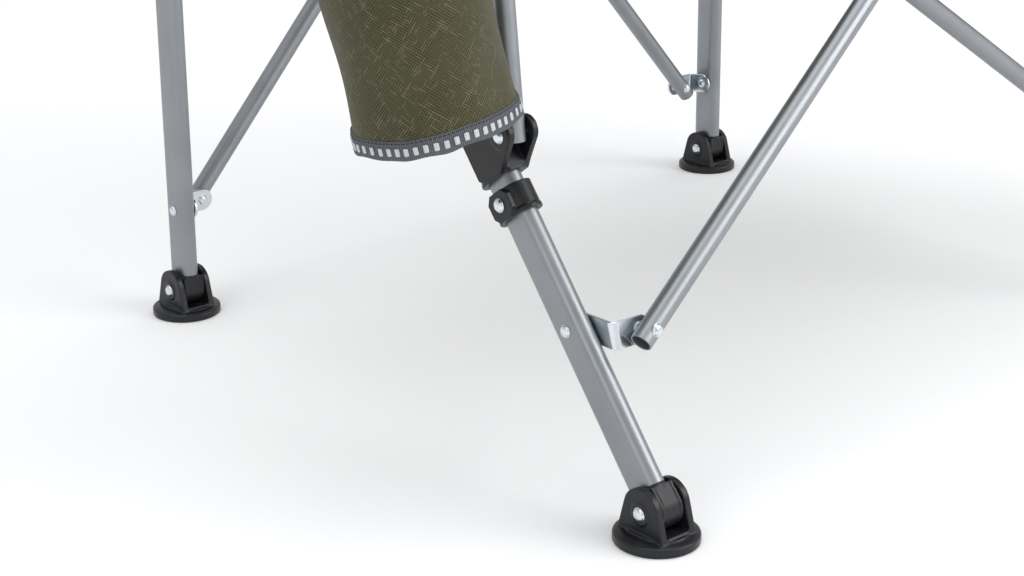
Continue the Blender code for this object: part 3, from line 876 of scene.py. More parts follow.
# ---------------------------------------------------------------- feet and tube ends
@dataclass
class SwivelFoot:
    """Round foot with two ears, in the frame of its pivot."""

    pivot: float = 0.0233
    radius: float = 0.0300
    ear_low: float = 0.0106
    ear_high: float = 0.0160
    ear_round: float = 0.0158
    ear_foot: float = 0.0218
    ear_rise: float = 0.0022

    def mesh(self) -> bpy.types.Mesh:
        """The foot's moulding.

        Returns:
            The mesh.
        """
        floor = -self.pivot
        root = floor + 0.006
        full = self.radius
        pad = lathe([(0.0, floor), (full - 0.0008, floor), (full, floor + 0.0008),
                     (full, floor + 0.0058), (full - 0.0012, floor + 0.0069),
                     (full - 0.0066, floor + 0.0079), (0.0, floor + 0.0079)], steps=72)
        table = prism(oval(0.047, 0.036), root, floor + 0.0089)
        corner = Vector((self.ear_foot, floor + 0.0062 - self.ear_rise))
        reach = math.acos(self.ear_round / corner.length)
        start = math.degrees(math.atan2(corner.y, corner.x) + reach)
        outline = [(-self.ear_foot, root), (self.ear_foot, root)]
        outline += arc((0.0, self.ear_rise), self.ear_round, start, 180.0 - start, 26)
        ears = [prism(outline, low, high, "X") for low, high in
                ((self.ear_low, self.ear_high), (-self.ear_high, -self.ear_low))]
        bosses = [rod(0.0078, 0.0005, "X", (sign * (self.ear_high + 0.0003), 0.0, 0.0))
                  for sign in (-1, 1)]
        bed = prism(box(-0.0110, 0.0110, -0.0205, 0.0205), root, floor + 0.0104)
        cradle = rod(0.0161, 0.0102, "X")
        return moulded([pad, table, bed, *ears, *bosses], [cradle], cell=0.00058, rounds=3)


@dataclass
class TubeEye:
    """Eye that plugs a flat-oval tube, in the frame of its pivot; the tube is above it."""

    radius: float = 0.0155
    half: float = 0.0099
    flange: float = 0.0026
    groove: float = 0.0005
    taper: float = 0.0009
    lip_low: float = 0.0125
    lip_high: float = 0.0139

    def block(self, radius: float, low: float, high: float) -> bpy.types.Mesh:
        """Slice of the eye: round below and flat where the tube stands on it."""
        outline = arc((0.0, 0.0), radius, 180.0, 360.0, 40)
        top = radius - self.taper
        outline += [(top, self.lip_low), (-top, self.lip_low)]
        return prism(outline, low, high, "X")

    def mesh(self) -> bpy.types.Mesh:
        """The eye's moulding."""
        inner = self.half - self.flange
        slices = [self.block(self.radius - self.groove, -inner - 0.0004, inner + 0.0004),
                  self.block(self.radius, -self.half, -inner),
                  self.block(self.radius, inner, self.half)]
        lip = prism(oval(0.0290, 0.0164), self.lip_low - 0.004, self.lip_high)
        return moulded([*slices, lip], cell=0.0005, rounds=3)


# ---------------------------------------------------------------- brackets
def bent_plate(path: Sequence[tuple[Vector, Vector, float, float]], thick: float) -> bpy.types.Mesh:
    """Plate that follows a path, with eased edges.

    Args:
        path: Stations of middle point, way across the plate, middle height and half height.
        thick: The plate's thickness.

    Returns:
        The mesh.
    """
    ease = 0.0005
    half = thick / 2
    rings = []
    for place, across, middle, tall in path:
        tall = max(tall, ease * 1.2)
        outline = [(half - ease, tall), (half, tall - ease), (half, ease - tall),
                   (half - ease, -tall), (ease - half, -tall), (-half, ease - tall),
                   (-half, tall - ease), (ease - half, tall)]
        rings.append([place + across * a + Vector((0.0, 0.0, middle + b)) for a, b in outline])
    return Shape().loft(rings).mesh()


def ribbon(points: Sequence[Point], height: float, thick: float) -> bpy.types.Mesh:
    """Strap that stands on its edge and follows points in (x, y).

    Args:
        points: Points of its middle line.
        height: The strap's width, which stands up.
        thick: Its thickness.

    Returns:
        The mesh.
    """
    places = [Vector((x, y, 0.0)) for x, y in points]
    stations = []
    for index, place in enumerate(places):
        ahead = places[min(index + 1, len(places) - 1)]
        way = (ahead - places[max(index - 1, 0)]).normalized()
        stations.append((place, Vector((way.y, -way.x, 0.0)), 0.0, height / 2))
    return bent_plate(stations, thick)


@dataclass
class BentBracket:
    """Plated bracket: one flange on the tube, a round bend, and one flange across."""

    back: float
    reach: float
    rise: float
    way: int
    inner: float = 0.0083
    thick: float = 0.0025
    bend: float = 0.0042
    half: float = 0.0098
    tip: float = 0.043

    def tall(self, away: float) -> float:
        """Half height of the plate at a distance from one of its round ends."""
        short = self.half - min(away, self.half)
        return math.sqrt(max(self.half ** 2 - short ** 2, 0.0))

    def mesh(self) -> bpy.types.Mesh:
        """The plate, from its round end on the tube to its round end inboard.

        Returns:
            The mesh.
        """
        x = -(self.inner + self.thick / 2)
        stations: list[tuple[Vector, Vector, float, float]] = []
        turn = self.reach - self.bend
        straight = self.back + turn
        for step in range(37):
            run = straight * (1 - math.cos(math.pi * step / 36)) / 2
            y = self.way * (run - self.back)
            middle = self.rise * max(0.0, (run - self.back) / self.reach)
            stations.append((Vector((x, y, 0.0)), Vector((1.0, 0.0, 0.0)), middle, self.tall(run)))
        for step in range(1, 12):
            angle = math.pi / 2 * step / 12
            place = Vector((x - self.bend * (1 - math.cos(angle)),
                            self.way * (turn + self.bend * math.sin(angle)), 0.0))
            across = Vector((math.cos(angle), self.way * math.sin(angle), 0.0))
            middle = self.rise * min(1.0, (turn + self.bend * math.sin(angle)) / self.reach)
            stations.append((place, across, middle, self.half))
        start = x - self.bend
        length = self.tip + start
        for step in range(31):
            run = length * (1 - math.cos(math.pi * step / 30)) / 2
            stations.append((Vector((start - run, self.way * self.reach, 0.0)),
                             Vector((0.0, self.way, 0.0)), self.rise, self.tall(length - run)))
        return bent_plate(stations, self.thick)


# ---------------------------------------------------------------- tubes
@dataclass
class Tubing:
    """Sizes of the two tubes that the frame is cut from."""

    depth: float = 0.029
    width: float = 0.016
    radius: float = 0.008
    wall: float = 0.0012

    def flat(self, low: float, high: float) -> bpy.types.Mesh:
        """Flat-oval tube along Z."""
        return tube(lambda inset: oval(self.depth - 2 * inset, self.width - 2 * inset),
                    low, high, self.wall)

    def round(self, low: float, high: float, axis: str = "Z", centre: Point = (0.0, 0.0)
              ) -> bpy.types.Mesh:
        """Round tube along an axis."""
        return tube(lambda inset: circle(self.radius - inset, 40, centre), low, high,
                    self.wall, axis)


@dataclass
class CrossTube:
    """One crossed tube in the frame of its lower pivot; it runs inboard along x."""

    length: float
    layer: float
    tubing: Tubing
    tail: float = 0.012
    end: float = 0.006
    plate: float = 0.0025

    def mesh(self) -> bpy.types.Mesh:
        """The tube."""
        return self.tubing.round(-self.length - self.end, self.tail, "X", (self.layer, 0.0))

    def washers(self, centre: bool) -> bpy.types.Mesh:
        """Shanks and washers beside the tube, and at the crossing where the tube carries one.

        Args:
            centre: Whether the tube carries the washer at the crossing.

        Returns:
            The mesh.
        """
        way = math.copysign(1.0, self.layer)
        inner = abs(self.layer) - self.tubing.radius
        near = self.plate / 2
        parts = [self.spacer(0.0, way * near, way * (inner + 0.0006), 0.0056)]
        if centre:
            parts.append(self.spacer(-self.length / 2, -way * (inner - 0.0002),
                                     way * (inner + 0.0006), 0.0070))
        return joined(*parts)

    def spacer(self, x: float, start: float, stop: float, radius: float) -> bpy.types.Mesh:
        """Washer between two distances from the tube's plane.

        Args:
            x: Where it is on the tube.
            start: Its face nearer the plane.
            stop: Its other face.
            radius: Its radius.

        Returns:
            The mesh.
        """
        low, high = sorted((start, stop))
        ease = 0.0002
        return lathe([(0.0, low), (radius - ease, low), (radius, low + ease),
                      (radius, high - ease), (radius - ease, high), (0.0, high)], "Y", 32,
                     (x, 0.0, 0.0))

    def spots(self, centre: bool) -> list[Spot]:
        """Rivet heads on the tube and behind its plate.

        Args:
            centre: Whether the tube carries the rivet at the crossing.

        Returns:
            The heads' spots.
        """
        way = math.copysign(1.0, self.layer)
        outer = way * (abs(self.layer) + self.tubing.radius - 0.0005)
        spots = [rivet((0.0, outer, 0.0), (0.0, way, 0.0), 0.92),
                 rivet((0.0, -way * self.plate / 2, 0.0), (0.0, -way, 0.0), 0.85)]
        if centre:
            spots.append(rivet((-self.length / 2, outer, 0.0), (0.0, way, 0.0), 0.92))
        return spots


# ---------------------------------------------------------------- the side frame
@dataclass
class SideFrame:
    """Posts, legs, hubs, forks and brackets of both sides."""

    places: Places
    repeat: Repeat
    tubing: Tubing
    leg_lean: float = math.radians(37.8)
    cross_lean: float = math.radians(12.3)
    front_slope: float = math.radians(35.3)
    rear_slope: float = math.radians(48.4)
    shoulder: float = 0.014
    post_top: float = 1.050
    collar: Point = (0.219, 0.240)
    leg_rivet: float = 0.1325
    post_rivet: float = 0.0957
    cross_low: float = 0.0933
    plate_back: float = 0.0178
    plate_face: float = 0.0108
    fork_offset: float = 0.0295
    hub_reach: float = 0.036
    inboard: float = 0.033
    bracket_reach: float = 0.0299
    near_reach: float = 0.0101
    corner: float = 0.2899
    layer: float = 0.0100
    upright_tail: float = 0.006
    upright_length: float = 0.400
    arm_bolt: float = 0.673

    def build(self) -> None:
        """Make every hard piece of both sides."""
        foot = SwivelFoot().mesh()
        eye = TubeEye().mesh()
        head = TubeEye(radius=0.0115).mesh()
        fork = self.fork_mesh()
        collar = self.collar_mesh()
        for side in Side:
            self.feet(side, foot)
            self.post(side, eye)
            self.hub(side)
            self.leg(side, eye, head, collar)
            self.fork(side, fork)
            self.upright(side)
            self.brackets(side)
            self.crosses(side)

    def heads(self, name: str, body: str, side: Side, frame: Matrix, spots: Sequence[Spot],
              nodes: Sequence[str], extra: Sequence[bpy.types.Mesh] = ()) -> None:
        """Add one body's rivet heads and the plated pieces that go with them.

        Args:
            name: The piece's name.
            body: The body that it moves with.
            side: The side of the chair.
            frame: The frame of the spots.
            spots: Where the heads are.
            nodes: The nodes that the piece stands for.
            extra: Shanks and washers, in the same frame.
        """
        mesh = self.repeat.mesh(spots, rivet_head(), ZINC)
        add_piece(name, joined(mesh, *extra), ZINC, body, frame, side, nodes)

    def feet(self, side: Side, foot: bpy.types.Mesh) -> None:
        """The two feet of a side.

        Args:
            side: The side of the chair.
            foot: The foot's moulding.
        """
        for end in ("front", "rear"):
            label = f"{side.label}_{end}_foot"
            frame = framed(self.places.spot(side, f"{end}_foot_tilt"))
            add_piece(label + "_moulding", foot, PLASTIC, label, frame, side, [label])

    def foot_pin(self, height: float) -> tuple[list[Spot], bpy.types.Mesh]:
        """Heads and shank of the pin through a foot's ears.

        Args:
            height: How high the pin is in its frame.

        Returns:
            The heads' spots and the shank.
        """
        ear = 0.0166
        spots = [rivet((sign * ear, 0.0, height), (sign, 0.0, 0.0), 0.98) for sign in (1, -1)]
        return spots, rod(0.003, ear, "X", (0.0, 0.0, height))

    def post(self, side: Side, eye: bpy.types.Mesh) -> None:
        """Rear post, its end pieces, its low bracket and its rivets.

        Args:
            side: The side of the chair.
            eye: The moulding that plugs the post's lower end.
        """
        body = side.label + "_side"
        pivot = self.places.spot(side, "rear_foot_tilt")
        base = Vector((pivot.x, pivot.y, 0.0))
        frame = framed(base)
        post = self.tubing.flat(pivot.z + self.shoulder, self.post_top)
        add_piece(side.label + "_post_tube", post, STEEL, body, frame, side,
                  [side.label + "_rear_post"])
        add_piece(side.label + "_post_eye", eye, PLASTIC, body, framed(pivot), side,
                  [side.label + "_rear_post_eye"])
        plate = BentBracket(0.0105, self.plate_back, self.cross_low - self.post_rivet, 1).mesh()
        add_piece(side.label + "_rear_bracket_plate", raised(plate, self.post_rivet), ZINC, body,
                  frame, side, [side.label + "_rear_bracket"])
        insets = [(0.0, 0.0002), (0.0, 0.0060), (0.0004, 0.0070), (0.0014, 0.0077),
                  (0.0032, 0.0081), (0.0070, 0.0083)]
        rings = [ring(oval(0.031 - 2 * inset, 0.018 - 2 * inset), self.post_top + rise)
                 for inset, rise in insets]
        crown = Shape().loft(rings).mesh()
        add_piece(side.label + "_post_crown", crown, PLASTIC, body, frame, side,
                  [side.label + "_post_cap"])
        spots, shank = self.foot_pin(pivot.z)
        outer = self.tubing.width / 2
        spots += [rivet((outer, 0.0, self.post_rivet), (1, 0, 0), 0.86),
                  rivet((-self.plate_face, 0.0, self.post_rivet), (-1, 0, 0), 0.86),
                  rivet((0.0148, 0.0, self.arm_bolt), (1, 0, 0), 1.2),
                  rivet((-outer, 0.0, self.arm_bolt), (-1, 0, 0), 1.0)]
        bolt = lathe([(0.0, -0.008), (0.003, -0.008), (0.003, 0.0083), (0.0062, 0.0083),
                      (0.0062, 0.0102), (0.003, 0.0102), (0.003, 0.0144), (0.0072, 0.0144),
                      (0.0074, 0.0150), (0.0, 0.0150)], "X", 32, (0.0, 0.0, self.arm_bolt))
        self.heads(side.label + "_post_fastenings", body, side, frame, spots,
                   [side.label + "_rear_foot_pin", side.label + "_armrest_screw"], [shank, bolt])

    def wing(self, height: float, start: float, y: float, thick: float = 0.0025) -> bpy.types.Mesh:
        """Plate that reaches inboard to a crossed tube's end.

        Args:
            height: Its middle height.
            start: Where it leaves its bracket.
            y: Its place fore and aft.
            thick: Its thickness.

        Returns:
            The mesh.
        """
        tip = arc((-self.inboard, height), 0.0100, 90.0, 270.0, 24)
        outline = [(start, height - 0.010), (start, height + 0.010)] + tip
        return prism(outline, y - thick / 2, y + thick / 2, "Y")

    def hub(self, side: Side) -> None:
        """Sliding hub with ears for the front leg.

        Args:
            side: The side of the chair.
        """
        post = self.hub_reach
        low = -0.020
        pivot = self.places.spot(side, "front_leg_fold")
        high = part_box(side.label + "_rear_hub")[1].z - pivot.z
        body = prism(oval(0.038, 0.025, post), low, high)
        rims = [prism(oval(0.0398, 0.0268, post), start, start + 0.004)
                for start in (low, high - 0.004)]
        outline = arc((0.0, 0.0), 0.0128, 70.0, 262.0, 30)
        outline += [(post - 0.010, low + 0.001), (post - 0.010, 0.034), (0.012, 0.020)]
        cheeks = prism(outline, -0.0149, 0.0149, "X")
        ribs = [prism(oval(0.0392, 0.0222, post), level, level + 0.0016)
                for level in (0.006, 0.0115, 0.017, 0.0225)]
        slot = prism(box(-0.0106, 0.0106, -0.030, post - 0.0182), -0.050, 0.060)
        wing = self.wing(high - 0.016, -0.004, self.plate_back + post, 0.0030)
        channel = prism(oval(0.0298, 0.0168, post), low - 0.01, high + 0.01)
        mesh = moulded([body, *rims, cheeks, *ribs, wing], [slot, channel], 0.0008, 4)
        add_piece(side.label + "_hub_moulding", mesh, PLASTIC, side.label + "_hub",
                  framed(pivot), side, [side.label + "_rear_hub"])
        spots = [rivet((sign * 0.0149, 0.0, 0.0), (sign, 0, 0)) for sign in (1, -1)]
        self.heads(side.label + "_hub_rivets", side.label + "_hub", side, framed(pivot), spots,
                   [side.label + "_hub_pin"], [rod(0.003, 0.0148)])

    def leg(self, side: Side, eye: bpy.types.Mesh, head: bpy.types.Mesh,
            collar: bpy.types.Mesh) -> None:
        """Front leg with its eye, head, stop collar and rivets, in the frame of its foot pivot.

        Args:
            side: The side of the chair.
            eye: The moulding in the leg's lower end.
            head: The moulding in its upper end.
            collar: The stop collar.
        """
        label = side.label
        body = label + "_front_leg"
        foot = self.places.spot(side, "front_foot_tilt")
        length = (self.places.spot(side, "front_leg_fold") - foot).length
        frame = framed(foot, self.leg_lean)
        add_piece(label + "_leg_tube", self.tubing.flat(self.shoulder, length - self.shoulder),
                  STEEL, body, frame, side, [label + "_front_leg"])
        add_piece(label + "_leg_eye", eye, PLASTIC, body, frame, side, [label + "_front_leg_eye"])
        top = head.copy()
        top.transform(Matrix.Rotation(math.pi, 4, "X"))
        top.transform(Matrix.Translation((0.0, 0.0, length)))
        add_piece(label + "_leg_head", top, PLASTIC, body, frame, side, [label + "_front_leg_head"])
        add_piece(label + "_stop_collar", collar, PLASTIC, body, frame, side,
                  [label + "_leg_collar"])
        spots, shank = self.foot_pin(0.0)
        middle = sum(self.collar) / 2
        spots += [rivet((self.tubing.width / 2, 0.0, self.leg_rivet), (1, 0, 0), 0.88),
                  rivet((-self.plate_face, 0.0, self.leg_rivet), (-1, 0, 0), 0.80),
                  rivet((0.0146, 0.0, middle + 0.001), (1, 0, 0), 0.96),
                  rivet((-0.0125, 0.0, middle), (-1, 0, 0), 0.80)]
        self.heads(label + "_leg_fastenings", body, side, frame, spots,
                   [label + "_front_foot_pin", label + "_front_bracket_rivet"], [shank])

    def collar_mesh(self) -> bpy.types.Mesh:
        """Stop collar: a wrap with a lip and a flat riveted boss outboard.

        Returns:
            The mesh.
        """
        low, high = self.collar
        wrap = prism(oval(0.0366, 0.0236), low, high)
        lip = prism(oval(0.0378, 0.0248), low, low + 0.0030)
        middle = (low + high) / 2
        outline = [(y, middle + z) for y, z in chamfered(0.0118, (high - low) / 2, 0.0050)]
        boss = prism(outline, 0.005, 0.0145, "X")
        channel = prism(oval(0.0296, 0.0166), low - 0.01, high + 0.01)
        return moulded([wrap, lip, boss], [channel], 0.0005, 4)

    def fork_mesh(self) -> bpy.types.Mesh:
        """Fork in the frame of its pin: a sleeve on the leg and two ears for the upright.

        Returns:
            The mesh.
        """
        low = -0.0215
        high = 0.0220
        leg = self.fork_offset
        sleeve = prism(oval(0.0370, 0.0250, leg), low, high)
        brim = prism(oval(0.0386, 0.0262, leg), low, low + 0.0026)
        outline = arc((0.0, 0.0006), 0.0112, 92.0, 232.0, 24)
        outline += [(0.0100, -0.0176), (0.0160, low), (0.0330, low), (0.0408, low + 0.0052),
                    (0.0410, 0.0140), (0.0340, high), (0.0125, high), (0.0060, 0.0150)]
        cheeks = prism(outline, -0.0134, 0.0134, "X")
        bosses = [rod(0.0096, 0.0006, "X", (sign * 0.0136, 0.0, 0.0)) for sign in (1, -1)]
        inner = self.tubing.radius + 0.0007
        slot = prism(box(-inner, inner, -0.030, 0.0117), -0.040, 0.040)
        channel = prism(oval(0.0298, 0.0168, leg), low - 0.01, high + 0.01)
        return moulded([sleeve, brim, cheeks, *bosses], [slot, channel], 0.00055, 4)

    def fork(self, side: Side, mesh: bpy.types.Mesh) -> None:
        """Sliding fork and its pin.

        Args:
            side: The side of the chair.
            mesh: The fork's moulding.
        """
        label = side.label
        frame = framed(self.places.spot(side, "upright_fold"), self.leg_lean)
        add_piece(label + "_fork_moulding", mesh, PLASTIC, label + "_fork", frame, side,
                  [label + "_fork_slider"])
        spots = [rivet((sign * 0.0141, 0.0, 0.0), (sign, 0, 0), 0.96) for sign in (1, -1)]
        self.heads(label + "_fork_rivets", label + "_fork", side, frame, spots,
                   [label + "_fork_pin"], [rod(0.003, 0.0140)])

    def upright(self, side: Side) -> None:
        """Armrest upright with its corner bracket and cap.

        Args:
            side: The side of the chair.
        """
        label = side.label
        body = label + "_upright"
        frame = framed(self.places.spot(side, "upright_fold"), UPRIGHT_LEAN)
        add_piece(label + "_upright_tube",
                  self.tubing.round(-self.upright_tail, self.upright_length), STEEL, body, frame,
                  side, [label + "_front_upright"])
        top = self.upright_length
        cap = lathe([(0.0, top - 0.002), (0.0093, top - 0.002), (0.0097, top + 0.0004),
                     (0.0096, top + 0.0024), (0.0086, top + 0.0042), (0.0060, top + 0.0050),
                     (0.0, top + 0.0053)], steps=48)
        add_piece(label + "_upright_crown", cap, PLASTIC, body, frame, side,
                  [label + "_upright_cap"])
        low = self.corner - 0.009
        high = self.corner + 0.009
        collar = prism(circle(0.0118, 48), low - 0.003, high + 0.003)
        near = side is Side.LEFT
        reach = self.near_reach if near else self.bracket_reach
        foot = (box(-0.0137, -0.0087, -reach - 0.00125, 0.004) if near
                else box(-0.0045, 0.0045, -reach, -0.0095))
        stem = prism(foot, low, high)
        wing = leaned(self.wing(self.corner, -0.009 if near else 0.006, -reach, 0.0028),
                      self.cross_lean - UPRIGHT_LEAN, (0.0, -reach, self.corner))
        bore = rod(0.0084, 0.03, "Z", (0.0, 0.0, self.corner))
        mesh = moulded([collar, stem, wing], [bore], 0.0006, 3)
        add_piece(label + "_corner_moulding", mesh, PLASTIC, body, frame, side,
                  [label + "_corner_bracket"])

    def brackets(self, side: Side) -> None:
        """Low front bracket.

        Args:
            side: The side of the chair.
        """
        label = side.label
        forward = self.bracket_reach * math.cos(self.cross_lean)
        drop = -self.bracket_reach * math.sin(self.cross_lean)
        frame = framed(self.places.spot(side, "bracket_fold"), self.cross_lean)
        mesh = BentBracket(0.0098, forward, drop, -1).mesh()
        add_piece(label + "_front_bracket_plate", mesh, ZINC, label + "_bracket", frame, side,
                  [label + "_front_bracket"])

    def crosses(self, side: Side) -> None:
        """The two crossed tubes that start on this side.

        Args:
            side: The side of the chair.
        """
        near = side is Side.LEFT
        span = 2 * abs(self.places.spot(side, "front_cross_fold").x)
        for place, lean, slope, outer in (("front", self.cross_lean, self.front_slope, near),
                                          ("rear", 0.0, self.rear_slope, not near)):
            piece = CrossTube(span / math.cos(slope), -self.layer if outer else self.layer,
                              self.tubing)
            name = f"{side.label}_{place}_cross"
            frame = framed(self.places.spot(side, f"{place}_cross_fold"), lean, slope * side.value)
            nodes = [f"{side.label}_{place}_diagonal_rivet"]
            if near:
                nodes.append(place + "_cross_rivet")
            add_piece(name + "_tube", piece.mesh(), STEEL, name, frame, side,
                      [f"{side.label}_{place}_diagonal"])
            self.heads(name + "_fastenings", name, side, frame, piece.spots(near), nodes,
                       [piece.washers(near)])


# ---------------------------------------------------------------- cloth
Surface = Callable[[float, float], Vector]


def normal_at(surface: Surface, across: float, along: float) -> Vector:
    """Unit normal of a surface.

    Args:
        surface: The surface.
        across: Share of its width.
        along: Share of its length.

    Returns:
        The normal.
    """
    step = 0.004
    right = surface(min(across + step, 1.0), along) - surface(max(across - step, 0.0), along)
    up = surface(across, min(along + step, 1.0)) - surface(across, max(along - step, 0.0))
    return right.cross(up).normalized()


def wave(place: float, length: float, phase: float) -> float:
    """Height of a sine wave of unit size."""
    return math.sin(2 * math.pi * place / length + phase)


@dataclass
class SlungPanel:
    """Cloth panel on a surface, with taped edges, sewn welts and rows of stitches."""

    name: str
    surface: Surface
    body: str
    node: str
    repeat: Repeat
    thick: float = 0.0022
    columns: int = 90
    rows: int = 70
    tape: float = 0.024
    pitch: float = 0.0052
    welts: tuple[float, ...] = ()
    cross_welts: tuple[float, ...] = ()

    def slab(self) -> bpy.types.Mesh:
        """The cloth itself.

        Returns:
            The mesh.
        """
        rings = []
        for row in range(self.rows + 1):
            along = row / self.rows
            upper = []
            lower = []
            for column in range(self.columns + 1):
                across = column / self.columns
                place = self.surface(across, along)
                lift = normal_at(self.surface, across, along) * (self.thick / 2)
                upper.append(place + lift)
                lower.append(place - lift)
            rings.append(upper + lower[::-1])
        return Shape().loft(rings).mesh()

    def spot(self, edge: int, inward: float, share: float) -> Point:
        """Place on the surface, at a distance in from an edge.

        Args:
            edge: 0 and 1 for the sides, 2 and 3 for the ends.
            inward: Distance in from the edge.
            share: How far along the edge.

        Returns:
            Shares of the panel's width and length.
        """
        width = (self.surface(1.0, 0.5) - self.surface(0.0, 0.5)).length
        height = (self.surface(0.5, 1.0) - self.surface(0.5, 0.0)).length
        return ((inward / width, share), (1 - inward / width, share), (share, inward / height),
                (share, 1 - inward / height))[edge]

    def edge_tape(self, edge: int) -> bpy.types.Mesh:
        """Tape folded over one edge.

        Args:
            edge: The edge, as in spot.

        Returns:
            The mesh.
        """
        half = self.thick / 2 + 0.0008
        upper = [(self.tape, half * 0.8), (self.tape - 0.0008, half),
                 (self.tape / 2, half + 0.0002), (0.0012, half), (-0.0010, half * 0.4)]
        outline = upper + [(inward, -level) for inward, level in upper[::-1]]
        rings = []
        for step in range(81):
            share = step / 80
            rim = self.surface(*self.spot(edge, 0.0, share))
            out = (rim - self.surface(*self.spot(edge, 0.01, share))).normalized()
            points = []
            for inward, level in outline:
                across, along = self.spot(edge, max(inward, 0.0), share)
                place = self.surface(across, along) + out * max(-inward, 0.0)
                points.append(place + normal_at(self.surface, across, along) * level)
            rings.append(points)
        return Shape().loft(rings).mesh()

    def row(self, start: Point, stop: Point, lift: float) -> list[Spot]:
        """Spots of one row of stitches between two places on the surface.

        Args:
            start: Where the row starts, in shares.
            stop: Where it ends.
            lift: How far the stitches stand off the middle of the cloth.

        Returns:
            The stitches' spots.
        """
        count = int(self.run(start, stop) / self.pitch)
        spots = []
        for number in range(count):
            here = self.mix(start, stop, (number + 0.5) / count)
            there = self.mix(start, stop, min((number + 0.6) / count, 1.0))
            out = normal_at(self.surface, *here)
            way = (self.surface(*there) - self.surface(*here)).normalized()
            spots.append(Spot(self.surface(*here) + out * lift, out, way))
        return spots

    @staticmethod
    def mix(start: Point, stop: Point, share: float) -> Point:
        """Place part of the way between two places."""
        return (start[0] + (stop[0] - start[0]) * share, start[1] + (stop[1] - start[1]) * share)

    def stitches(self) -> bpy.types.Mesh:
        """All rows of stitches on the panel's outer face.

        Returns:
            The mesh.
        """
        spots: list[Spot] = []
        taped = self.thick / 2 + 0.0010
        plain_face = self.thick / 2 + 0.0001
        for edge in range(4):
            for inward in (0.0032, self.tape - 0.0032):
                spots += self.row(self.spot(edge, inward, 0.01), self.spot(edge, inward, 0.99),
                                  taped)
        for share in self.welts:
            for line in (share - 0.008, share + 0.008):
                spots += self.row((line, 0.07), (line, 0.93), plain_face)
        for share in self.cross_welts:
            for line in (share - 0.007, share + 0.007):
                spots += self.row((0.05, line), (0.95, line), plain_face)
        return self.repeat.mesh(spots, thread_bead(0.0038, 0.00042), THREAD)

    def welt(self, start: Point, stop: Point) -> bpy.types.Mesh:
        """Low rounded welt where two pieces of cloth are sewn together.

        Args:
            start: Where the welt starts, in shares.
            stop: Where it ends.

        Returns:
            The mesh.
        """
        rings = []
        for step in range(81):
            here = self.mix(start, stop, step / 80)
            ahead = self.mix(start, stop, min(step / 80 + 0.01, 1.0))
            behind = self.mix(start, stop, max(step / 80 - 0.01, 0.0))
            out = normal_at(self.surface, *here)
            way = (self.surface(*ahead) - self.surface(*behind)).normalized()
            over = way.cross(out)
            place = self.surface(*here) + out * (self.thick / 2)
            rings.append([place + over * x + out * y for x, y in
                          ((-0.0034, -0.0003), (-0.0022, 0.0006), (0.0, 0.0011), (0.0022, 0.0006),
                           (0.0034, -0.0003), (0.0, -0.0006))])
        return Shape().loft(rings).mesh()

    def build(self) -> bpy.types.Object:
        """Make the panel with its tapes, welts and stitches.

        Returns:
            The cloth.
        """
        cloth = add_piece(self.name + "_cloth", self.slab(), CLOTH, self.body, nodes=[self.node])
        tapes = add_piece(self.name + "_edge_tapes", joined(*[self.edge_tape(e) for e in range(4)]),
                          WEBBING, self.body)
        seams = [self.welt((share, 0.05), (share, 0.95)) for share in self.welts]
        seams += [self.welt((0.04, share), (0.96, share)) for share in self.cross_welts]
        welts = add_piece(self.name + "_welts", joined(*seams), CLOTH, self.body)
        sewing = add_piece(self.name + "_stitches", self.stitches(), THREAD, self.body)
        for piece in (cloth, tapes, welts, sewing):
            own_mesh(piece)
        width = max(self.run((0.0, share), (1.0, share)) for share in (0.0, 0.5, 1.0))
        length = max(self.run((share, 0.0), (share, 1.0)) for share in (0.0, 0.5, 1.0))
        LOG.info("%s cloth is cut %.3f by %.3f m", self.name, width, length)
        return cloth

    def run(self, start: Point, stop: Point) -> float:
        """Length over the surface between two places."""
        places = [self.surface(*self.mix(start, stop, step / 40)) for step in range(41)]
        return sum((second - first).length for first, second in zip(places, places[1:]))


